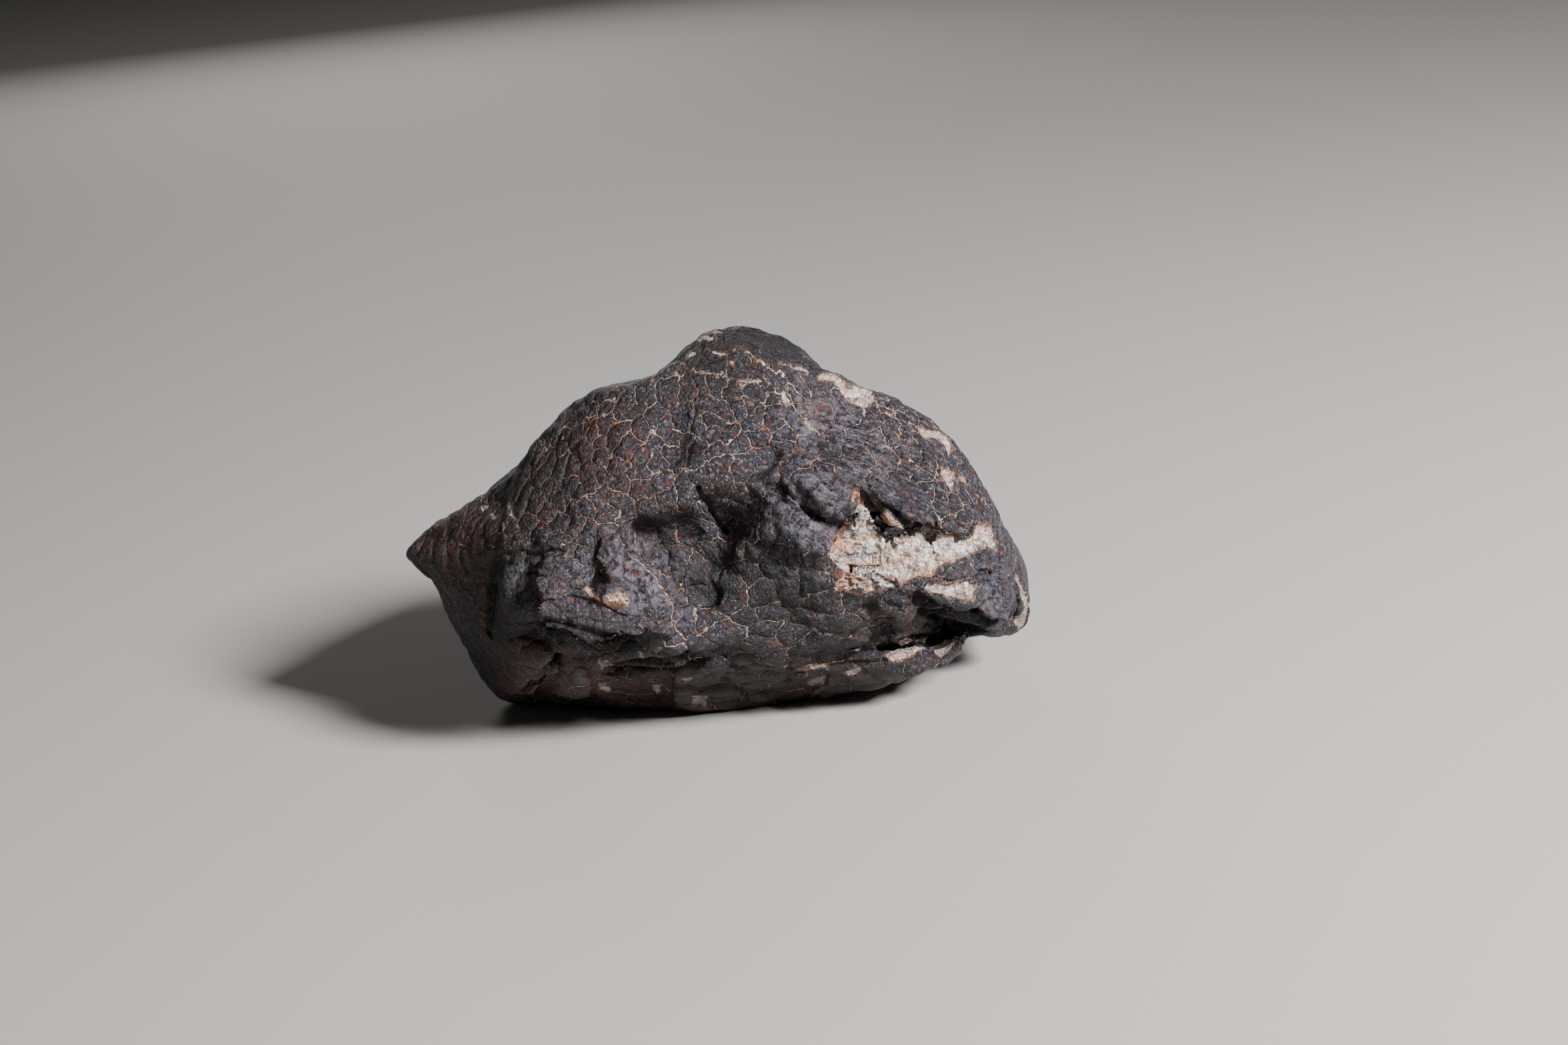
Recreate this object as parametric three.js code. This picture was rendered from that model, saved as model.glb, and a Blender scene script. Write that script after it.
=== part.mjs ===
// A chondrite meteorite: one natural stone under a crackled fusion crust.
// Millimetres, +Z up. The origin is the middle of the stone's box, on the surface it rests on.
// The form is worked out in four steps: landmarks on the stone span flat facets, an even net
// of points is laid on the facets, the edges are worn round, and then the brushes below press
// in and draw out what the facets are too coarse for.
import * as THREE from "three";
import { ConvexHull } from "three/addons/math/ConvexHull.js";
import { mergeVertices } from "three/addons/utils/BufferGeometryUtils.js";

// ---------------------------------------------------------------- driving dimensions, mm
const HEART = new THREE.Vector3(0, -1, 20); // a point inside that sees the whole surface
const MIDDLE = new THREE.Vector3(0.7, -1.4, 0); // the box's middle among the landmarks
const HALF_SIZE = new THREE.Vector3(36, 22.5, 22); // half length, depth and height, roughly
const NET_DETAIL = 21; // the net has 20 * (detail + 1) ^ 2 triangles
const NET_SHIFT = new THREE.Vector3(0, -0.22, 0.04); // draws the net closer on the front face
const WEAR_PASSES = 1; // how often the sharp facet edges are averaged
const WEAR_SHARE = 0.5; // how far each pass moves a point towards its neighbours
const SINK_SHARE = 0.8; // how much of a point's height over a brush path is left out of its distance
const BASE_LEVEL = 0; // what would lie lower is flat here, and is what the stone rests on

// ---------------------------------------------------------------- landmarks, mm
// Each row follows one line or face of the stone, from -X to +X unless it says otherwise.
const LANDMARKS = {
  crestLeft: [
    [-36.3, -4.3, 21.2], [-32.3, -4.5, 24], [-28, -5.5, 26.4], [-25, -6, 28], [-22, -7.7, 30.2],
    [-19, -8.7, 32.8], [-16.5, -7.5, 35.8], [-14, -7, 38], [-11.5, -8, 39.4],
    [-8.5, -9.2, 40], [-4.5, -10.5, 41], [-1.5, -10, 42.6], [0.8, -8.5, 44.6],
  ],
  crestRight: [
    [2.7, -7, 45.4], [6.5, -8.8, 43.4], [9.5, -8.7, 41.2], [13.6, -6.8, 39.5],
    [16.2, -6.5, 38.2], [19, -7.5, 36.5], [22.2, -7.8, 35], [25.8, -7.5, 32.4],
    [27.8, -8, 30], [30.2, -8.2, 26.6], [32, -10, 22.2], [33.9, -7.3, 17.4],
    [35.9, -3.2, 12], [37, 1.5, 7],
  ],
  humpBehindPeak: [
    [4, 2, 43], [7.5, 2, 42.7], [10.5, 1.5, 41.2], [12.6, 2, 39.3], [13.8, 2, 36],
  ],
  leftWingAboveShoulder: [
    [-32.5, -7, 21.5], [-28, -9, 24.5], [-22, -12, 27.2], [-17, -14.3, 29.5],
    [-14, -12.5, 33.5], [-10.5, -12.5, 36.7],
  ],
  middleUpperFace: [
    [-7, -15, 36.2], [-8, -17.6, 31.7], [-12.5, -16.8, 30.3], [-4, -13.5, 37.3],
    [-3, -15.6, 33.8], [-0.5, -12, 40.4], [2.5, -15, 37.6], [1, -18.3, 34],
    [4.5, -16.5, 35.7], [6.5, -17.8, 32.6], [3.5, -19.6, 30.6], [7, -20.4, 29.4],
  ],
  rightUpperFace: [
    [9.5, -12.5, 37.7], [9.5, -17.4, 34.5], [13.5, -19, 32.2], [17, -20.5, 29.2],
    [15, -12, 35.4], [19.5, -13.7, 32.2], [20.5, -18.6, 27.4], [23.5, -18.4, 23.6],
    [25.5, -13.5, 28.5], [28, -13.7, 23.2], [31, -11.3, 20.2],
  ],
  shoulderEdge: [
    [-24, -12.8, 24], [-16.3, -17.8, 25.2], [-13.3, -18.8, 26.6], [-9.6, -20, 26.6],
    [-6, -19.8, 28], [-2.6, -20, 28.6], [-0.6, -19.9, 30.2],
  ],
  lumpAndBulge: [
    [10.5, -21.6, 31.3], [15, -22.4, 29], [11.5, -20.8, 28], [14, -20.8, 25.6],
    [9.5, -22.4, 26], [12.5, -22.4, 24.4], [6, -21, 26],
  ],
  matrixPatch: [
    [15, -21, 24.3], [19, -20.8, 22.5], [24.5, -18.4, 20], [14, -23, 20],
    [19, -22, 18], [23, -20.5, 17],
  ],
  rightLobe: [
    [28, -17, 18.5], [27.8, -17.6, 15], [31.5, -14.5, 14], [31.5, -13.2, 9.6],
    [34.8, -9, 10], [30, -14.6, 9.6], [23.8, -19.6, 15.4], [34.8, -6, 5.1],
  ],
  cavityUnderLobe: [[22, -16.5, 13.4], [24.5, -12.5, 10], [27.5, -9, 7.6]],
  frontLower: [
    [16.5, -22, 17], [18.5, -20, 13], [12.5, -21.6, 14.5], [8, -21, 17], [3.5, -20.8, 17.5],
    [2.5, -20, 21.5], [8, -20.8, 21], [0, -20.4, 13], [5, -20.4, 12], [7.5, -18.5, 10],
    [14, -20.2, 12.5], [19, -18, 10.5],
  ],
  lowBand: [
    [-4, -16, 8], [1, -16, 7.5], [7, -16, 7], [12.5, -17, 8.5], [16, -17.3, 9.4],
    [21, -15, 7.4], [22, -15.5, 4.4], [26.4, -13, 4.4], [28.8, -6, 4.8], [-10.5, -12.5, 5.5],
  ],
  darkFacetAndBand: [
    [-25, -12.6, 22.4], [-26.4, -11.2, 12.6], [-22, -16.2, 23.4], [-22.1, -17, 18],
    [-22.6, -15.8, 13.4], [-19.5, -18.3, 19], [-18, -18.2, 23.8],
  ],
  block: [
    [-16.6, -19, 23.4], [-17, -20, 17.6], [-13.5, -20.8, 22.5], [-11.5, -20.4, 24.4],
    [-14.5, -21, 17], [-10.5, -21.6, 16.6], [-8, -21.7, 17],
  ],
  tongue: [
    [-9.3, -20.9, 25.2], [-7.3, -22.2, 21.6], [-4.9, -22, 17], [-4.5, -21.6, 14],
    [-9.2, -22.4, 20.6],
  ],
  hollow: [
    [-7, -18.6, 25.8], [-4.5, -18.4, 22], [-2, -19.2, 18.5], [-0.5, -18.1, 22.5],
    [2, -18.3, 25.5],
  ],
  lowerLeft: [
    [-16.5, -17.6, 14], [-20.5, -16, 14.5], [-19, -16.6, 12], [-22.5, -11, 6],
    [-16.5, -15.7, 9.6], [-13.5, -16, 10], [-9, -18.4, 11.6], [-6, -19.7, 11.6],
  ],
  leftUnderside: [
    [-34.6, -4, 19], [-32.4, -4, 16.6], [-31.8, -4, 13], [-30.2, -3.5, 9], [-29, -3, 5.3],
    [-27.2, -6, 5],
  ],
  frontContact: [
    [-27.4, -0.3, 0], [-25.7, -1.4, 0], [-21.7, -2.4, -0.2], [-15.2, -5.2, -0.5],
    [-7.3, -6.9, -0.5], [0.5, -9, -0.4], [4.3, -8.8, -0.4], [8.2, -8.2, -0.4],
    [12.2, -6.8, 0], [19, -5.5, 2.6],
  ],
  backContact: [
    [-24, 3.5, 0.2], [-16, 6.5, 0], [-7, 8.5, -0.3], [3, 9, -0.3], [11, 6.5, 0], [18, 2, 1.8],
    [-8, 1, -1.2], [4, 0.5, -1.2],
  ],
  backUpper: [
    [-30, 2.5, 22.8], [-24, 3, 26], [-17, 2, 32], [-10, 1, 36], [-4, -4, 39], [-2, 1, 38.4],
    [0.5, -3, 42], [16, 0, 35.6], [20, 2, 33], [26, 1.5, 28.5], [31, 0, 22], [35.6, 3, 12.5],
  ],
  backShoulder: [
    [-29, 8, 17], [-21, 13, 23.5], [-13.5, 12.5, 30], [-4, 11, 34.5], [5, 10, 37],
    [12, 11.5, 33], [20, 11, 27.5], [27.5, 10, 21], [33, 8, 14],
  ],
  backFace: [
    [-26.5, 12.5, 11.5], [-17, 18.5, 19.5], [-7, 19, 25], [3, 20.5, 24.5], [12.5, 21, 18.5],
    [21.5, 17.5, 15.5], [29, 11.5, 9.5], [-15, 19, 11], [-2, 21.5, 14], [8, 21.5, 10.5],
    [18, 17.5, 8],
  ],
  backUnderside: [
    [-27, 6, 4.5], [-20, 12, 5.5], [-10, 15.5, 5], [3, 17, 5], [13, 14.5, 4.5], [23, 10, 4.2],
    [31.5, 3.5, 4.2],
  ],
};

// ---------------------------------------------------------------- brushes, mm
// A path runs over the surface. Its left is the left hand of someone who walks it on the
// outside of the stone.

// Furrows: pressed in along a path, half as deep one width away. A negative depth is a rib.
const FURROWS = [
  { path: [[8.5, -20.5, 30], [11.5, -21, 28], [14, -21.5, 25]], width: 1.1, depth: 1.5 },
  { path: [[9.5, -18.5, 33], [13.5, -19.5, 32], [17, -20, 29.5]], width: 1.2, depth: -0.6 },
  {
    path: [[16.5, -20.5, 29.5], [18.5, -19.5, 26], [19, -20, 24.5], [23, -18.5, 23]],
    width: 1.2, depth: 1.3,
  },
  { path: [[17.5, -20, 28.5], [19.5, -19, 26.5], [22, -19, 24.5]], width: 1.2, depth: -0.9 },
  { path: [[8, -18, 33.6], [11.5, -18.5, 34], [15, -19, 32.8], [17.5, -20, 31]], width: 1.2, depth: 0.6 },
  { path: [[-0.5, -19.5, 30.5], [0.5, -19.5, 28.5], [2, -18.5, 25]], width: 1.2, depth: 0.9 },
  { path: [[7, -18.5, 32.5], [6, -20, 31], [4.5, -19.5, 28.5]], width: 1.8, depth: 1.1 },
  { path: [[8.7, -19, 33], [7.5, -20.6, 30.5], [6, -20.6, 28]], width: 1.2, depth: -0.5 },
  {
    path: [[-7, -19, 26.5], [-5.5, -19, 23.5], [-4, -19.5, 21], [-1, -19.5, 17.5]],
    width: 1.1, depth: 0.9,
  },
  { path: [[-3, -19, 26.5], [-1.5, -18.5, 23], [-0.5, -19.5, 20]], width: 1.2, depth: 0.8 },
  { path: [[-5, -19, 26.8], [-3.4, -19, 23.5], [-2, -19, 20.5]], width: 1.2, depth: -0.5 },
  { path: [[1, -18.5, 25], [0.5, -19, 21.5], [1, -20, 18.5]], width: 1.2, depth: 0.5 },
  { path: [[-2.5, -14, 37.5], [-2.5, -15.5, 35], [-3, -19, 31.5]], width: 1.5, depth: 0.8 },
  { path: [[-9.5, -19.5, 27.4], [-5, -19.5, 28.7], [-0.5, -19.5, 30.5]], width: 1.2, depth: -0.6 },
  { path: [[-18.5, -18.5, 16.5], [-14, -19.5, 15], [-11, -19.5, 14.3]], width: 1.2, depth: 1.1 },
  { path: [[-12, -15.5, 9], [-9, -16.5, 9.5], [-3.5, -18, 10.5]], width: 1.2, depth: 1.2 },
  { path: [[-24, -5.5, 3], [-21.5, -11.5, 7], [-18, -16, 11.5]], width: 1.2, depth: 0.9 },
  { path: [[3, -20.5, 20], [5.5, -21, 17], [9, -21, 14.5]], width: 1.8, depth: 0.5 },
  { path: [[16.5, -21.5, 15.5], [18, -20, 13], [19, -18, 11]], width: 1.2, depth: 0.9 },
  { path: [[17.5, -17.5, 9.5], [19, -17, 9.5], [24, -13, 8]], width: 1.2, depth: 1.1 },
  { path: [[33.5, -10.5, 14.5], [34, -9.5, 10.5], [33, -9.5, 8]], width: 1.2, depth: 0.7 },
];

// Steps: the surface on the left of the path stands higher by the rise. The step is as wide as
// its run, and the raised side falls back to the old level over the reach.
const STEPS = [
  {
    path: [[-4.5, -21, 13.5], [-5, -21, 18.5], [-7.5, -20.5, 22.5], [-9.5, -20, 26]],
    rise: 0.9, run: 1.6, reach: 4,
  },
  {
    path: [[-17.5, -18, 24], [-17, -19, 22.5], [-17.5, -19, 17.5]],
    rise: 0.6, run: 1.6, reach: 2.5,
  },
  {
    path: [[-18.5, -18.5, 17], [-14, -19.5, 15.5], [-12, -19.5, 14.5], [-8, -21.5, 16.5]],
    rise: 1.2, run: 1.6, reach: 3.5,
  },
  { path: [[-24, -13.5, 23], [-19, -16, 23.5], [-16, -18.5, 24.5]], rise: 0.8, run: 1.6, reach: 3 },
  { path: [[13.5, -22, 22.5], [14.3, -21.5, 25]], rise: 0.7, run: 1.6, reach: 3 },
  {
    path: [[17.5, -20, 27.5], [19, -20, 24.5], [23, -18.5, 23], [28, -15.5, 20]],
    rise: 1.1, run: 1.6, reach: 4,
  },
  { path: [[-24, -5.5, 3], [-21.5, -11.5, 7], [-18, -16, 11.5]], rise: 0.9, run: 1.6, reach: 3 },
  { path: [[-12, -15.5, 9.5], [-9, -16.5, 10], [-3.5, -18, 11]], rise: 0.8, run: 1.6, reach: 3 },
  { path: [[-5.5, -14.5, 6.5], [-5.5, -10.5, 2.5]], rise: 0.7, run: 1.6, reach: 3 },
  {
    path: [[21.5, -20.5, 16], [24, -17, 14], [27, -14.5, 10.5], [30, -8, 7]],
    rise: 1.2, run: 1.6, reach: 3.5,
  },
  { path: [[23.5, -20, 17.6], [28.5, -16.5, 16.4]], rise: 0.5, run: 1.6, reach: 2.5 },
];

// Dents and bosses: a round place pushed along its own direction, half as far one radius away.
const BOSSES = [
  { at: [13.5, -21, 29.8], radius: 2.2, push: [0, -1.1, -0.1] },
  { at: [10.5, -22, 25.6], radius: 2.2, push: [0, -0.5, 0] },
  { at: [2.6, -19, 26], radius: 1.1, push: [0, 1.1, 0] },
  { at: [17, -21, 22.5], radius: 3, push: [0, 0.9, 0] },
  { at: [21, -20, 20], radius: 2.6, push: [0, 0.7, 0] },
  { at: [-18.5, -7.5, 3], radius: 2.4, push: [0, 1.6, 0.8] },
  { at: [-20.2, -15.5, 11], radius: 2, push: [-0.2, -0.9, 0.1] },
  { at: [-16, -14, 8.5], radius: 1.8, push: [0.3, -0.9, 0] },
  { at: [27.8, -17.5, 14.8], radius: 2.2, push: [0, -0.7, -0.2] },
  { at: [31.3, -13.8, 13.4], radius: 2.6, push: [0.3, -0.8, 0] },
  { at: [25, -12.5, 10.5], radius: 2.2, push: [-0.6, 1.6, 0.6] },
];

// Thumbprints: shallow round hollows that the air's heat left, pressed straight in.
const THUMBPRINTS = [
  { at: [-23, 9, 20], radius: 3.6, depth: 1.4 },
  { at: [-14, 13, 27.5], radius: 3.8, depth: 1.5 },
  { at: [-3, 15, 31], radius: 3.8, depth: 1.3 },
  { at: [8, 14, 32], radius: 3.4, depth: 1.5 },
  { at: [17, 11.5, 28], radius: 3.8, depth: 1.5 },
  { at: [26.5, 8, 20.5], radius: 3.4, depth: 1.3 },
  { at: [-20, 16.5, 14], radius: 3.6, depth: 1.6 },
  { at: [-9, 19.5, 16], radius: 4.2, depth: 1.9 },
  { at: [4, 21, 18], radius: 3.8, depth: 1.6 },
  { at: [14.5, 18.5, 14.5], radius: 3.8, depth: 1.7 },
  { at: [25, 13, 12], radius: 3, depth: 1.2 },
  { at: [-12, 5, 34], radius: 3.4, depth: 1.1 },
  { at: [1, 8, 37.5], radius: 3.2, depth: 1 },
  { at: [22, 3, 30.5], radius: 3.6, depth: 1.1 },
  { at: [33.5, 3.5, 9.5], radius: 2.6, depth: 0.8 },
  { at: [-2, 19, 8], radius: 3, depth: 1.2 },
];

// ---------------------------------------------------------------- facets and net

// The corner directions' convex hull gives the facets: each of its triangles, seen from the
// heart, is the facet that joins the same three landmarks.
function facetsThrough(corners) {
  const directions = corners.map((corner) => {
    const direction = corner.clone().sub(HEART).divide(HALF_SIZE).normalize();
    direction.corner = corner;
    return direction;
  });
  const hull = new ConvexHull().setFromPoints(directions);
  return hull.faces.map((face) => {
    const points = [face.edge, face.edge.next, face.edge.next.next].map(
      (edge) => edge.vertex.point.corner,
    );
    return new THREE.Triangle(...points);
  });
}

// Lays a ray from the heart onto the facets and returns the point that it meets.
function pointOnFacets(direction, facets) {
  const ray = new THREE.Ray(HEART, direction);
  const hit = new THREE.Vector3();
  for (const { a, b, c } of facets) {
    if (ray.intersectTriangle(a, b, c, false, hit)) return hit;
  }
  throw new Error("a ray from the heart misses every facet");
}

// The net is an icosphere whose points are drawn along rays onto the facets.
function netOnFacets(facets) {
  const sphere = new THREE.IcosahedronGeometry(1, NET_DETAIL);
  sphere.deleteAttribute("normal");
  sphere.deleteAttribute("uv");
  const net = mergeVertices(sphere);
  const points = net.attributes.position;
  const direction = new THREE.Vector3();
  for (let i = 0; i < points.count; i++) {
    direction.fromBufferAttribute(points, i).add(NET_SHIFT).multiply(HALF_SIZE).normalize();
    points.setXYZ(i, ...pointOnFacets(direction, facets));
  }
  return net;
}

function neighboursOf(net) {
  const neighbours = Array.from({ length: net.attributes.position.count }, () => new Set());
  const corner = net.index.array;
  for (let i = 0; i < corner.length; i += 3) {
    const [a, b, c] = corner.slice(i, i + 3);
    neighbours[a].add(b).add(c);
    neighbours[b].add(a).add(c);
    neighbours[c].add(a).add(b);
  }
  return neighbours.map((set) => [...set]);
}

// Wear: every point moves part of the way to the middle of its neighbours.
function wear(net, neighbours, passes) {
  const points = net.attributes.position;
  for (let pass = 0; pass < passes; pass++) {
    const before = Array.from({ length: points.count }, (_, i) =>
      new THREE.Vector3().fromBufferAttribute(points, i),
    );
    neighbours.forEach((around, i) => {
      const middle = new THREE.Vector3();
      for (const j of around) middle.add(before[j]);
      middle.divideScalar(around.length);
      points.setXYZ(i, ...before[i].clone().lerp(middle, WEAR_SHARE));
    });
  }
}

// ---------------------------------------------------------------- brush work

// Half at one unit away, next to nothing at two and a half.
const fade = (distance) => Math.exp(-Math.LN2 * distance * distance);

// The nearest point of a path: how far it lies over the surface, and how far to the left.
function besidePath(point, normal, path) {
  let nearest = { distance: Infinity, left: 0 };
  for (let k = 0; k + 1 < path.length; k++) {
    const line = new THREE.Line3(new THREE.Vector3(...path[k]), new THREE.Vector3(...path[k + 1]));
    const away = point.clone().sub(line.closestPointToPoint(point, true, new THREE.Vector3()));
    const distance = away.clone().addScaledVector(normal, -away.dot(normal) * SINK_SHARE).length();
    if (distance >= nearest.distance) continue;
    const leftwards = normal.clone().cross(line.delta(new THREE.Vector3())).normalize();
    nearest = { distance, left: away.dot(leftwards) };
  }
  return nearest;
}

// Moves every point by what the brush says for it and its outward normal.
function brush(net, moveFor) {
  net.computeVertexNormals();
  const points = net.attributes.position;
  const normals = net.attributes.normal;
  for (let i = 0; i < points.count; i++) {
    const point = new THREE.Vector3().fromBufferAttribute(points, i);
    const normal = new THREE.Vector3().fromBufferAttribute(normals, i);
    points.setXYZ(i, ...point.add(moveFor(point.clone(), normal)));
  }
}

function pressFurrow(net, { path, width, depth }) {
  brush(net, (point, normal) => {
    const { distance } = besidePath(point, normal, path);
    return normal.clone().multiplyScalar(-depth * fade(distance / width));
  });
}

function raiseStep(net, { path, rise, run, reach }) {
  brush(net, (point, normal) => {
    const { distance, left } = besidePath(point, normal, path);
    const share = THREE.MathUtils.smoothstep(left, -run / 2, run / 2);
    return normal.clone().multiplyScalar(rise * share * fade(distance / reach));
  });
}

function pressThumbprint(net, { at, radius, depth }) {
  const centre = new THREE.Vector3(...at);
  brush(net, (point, normal) =>
    normal.clone().multiplyScalar(-depth * fade(point.distanceTo(centre) / radius)),
  );
}

function pushBoss(net, { at, radius, push }) {
  const centre = new THREE.Vector3(...at);
  brush(net, (point) =>
    new THREE.Vector3(...push).multiplyScalar(fade(point.distanceTo(centre) / radius)),
  );
}

// ---------------------------------------------------------------- the stone

function meteorite() {
  const corners = Object.values(LANDMARKS).flat().map((xyz) => new THREE.Vector3(...xyz));
  const net = netOnFacets(facetsThrough(corners));
  wear(net, neighboursOf(net), WEAR_PASSES);
  for (const thumbprint of THUMBPRINTS) pressThumbprint(net, thumbprint);
  for (const step of STEPS) raiseStep(net, step);
  for (const boss of BOSSES) pushBoss(net, boss);
  for (const furrow of FURROWS) pressFurrow(net, furrow);
  const points = net.attributes.position;
  for (let i = 0; i < points.count; i++) {
    points.setZ(i, Math.max(points.getZ(i), BASE_LEVEL));
  }
  net.translate(-MIDDLE.x, -MIDDLE.y, -MIDDLE.z);
  net.computeVertexNormals();
  const crust = new THREE.MeshStandardMaterial({ color: 0x4a4140, roughness: 0.62, metalness: 0 });
  const mesh = new THREE.Mesh(net, crust);
  mesh.name = "meteorite";
  return mesh;
}

const group = new THREE.Group();
group.add(meteorite());

export default group;
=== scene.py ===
"""A chondrite meteorite under a crackled fusion crust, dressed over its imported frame.

The stone is the frame's own mesh, copied, merged and refined. Plates, bosses, cracks and
breaks are then formed in it, the crackle is laid out as cells on the surface, and one
procedural material reads the cells, the breaks and the tints from attributes of the mesh.
"""

import math
from itertools import product

import bpy
import numpy as np
from bpy.props import FloatProperty, FloatVectorProperty, PointerProperty
from mathutils import Euler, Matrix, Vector


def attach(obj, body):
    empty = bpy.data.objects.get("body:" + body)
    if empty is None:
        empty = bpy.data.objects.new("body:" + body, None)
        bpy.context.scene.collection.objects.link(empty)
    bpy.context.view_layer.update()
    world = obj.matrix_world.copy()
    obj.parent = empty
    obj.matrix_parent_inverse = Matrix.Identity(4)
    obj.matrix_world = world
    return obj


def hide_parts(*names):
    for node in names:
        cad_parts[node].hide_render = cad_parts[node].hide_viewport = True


bl_info = {
    "name": "Chondrite meteorite",
    "version": (1, 0, 0),
    "blender": (4, 5, 0),
    "location": "View3D > Sidebar > Meteorite",
    "description": "Builds a crusted chondrite and the plain studio stage it stands on",
    "category": "Add Mesh",
}

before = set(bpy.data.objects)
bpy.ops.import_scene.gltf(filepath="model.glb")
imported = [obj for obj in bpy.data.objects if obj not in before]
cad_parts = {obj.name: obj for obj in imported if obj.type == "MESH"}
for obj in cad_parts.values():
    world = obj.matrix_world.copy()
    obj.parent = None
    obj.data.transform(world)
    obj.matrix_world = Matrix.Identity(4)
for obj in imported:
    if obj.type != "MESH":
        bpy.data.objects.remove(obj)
NODE = "meteorite"
MM = 0.001  # metres in a millimetre

# ------------------------------------------------------------------ where the marks are
# Marks in space are millimetres from the stone's own landmarks; MIDDLE is the middle of the
# frame's box among them.
MIDDLE = np.array((0.7, -1.4, 0.0))

# Marks on the front are drawn on an upright sheet, in millimetres right of and above its
# centre, and fall on the stone along the lines of sight from one viewing point.
EYE = np.array((7.706, -256.629, 105.591))  # the viewing point, mm
EYE_PITCH = 0.3231694710344825  # how far the line of sight dips, radians
EYE_ROLL = -0.09716892079802765  # how far the viewer's head leans, radians
SHEET_AWAY = 261.0  # from the viewing point to the sheet, mm
LENS = 53.57  # focal length, mm
SENSOR = 36.0  # its width, mm

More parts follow.
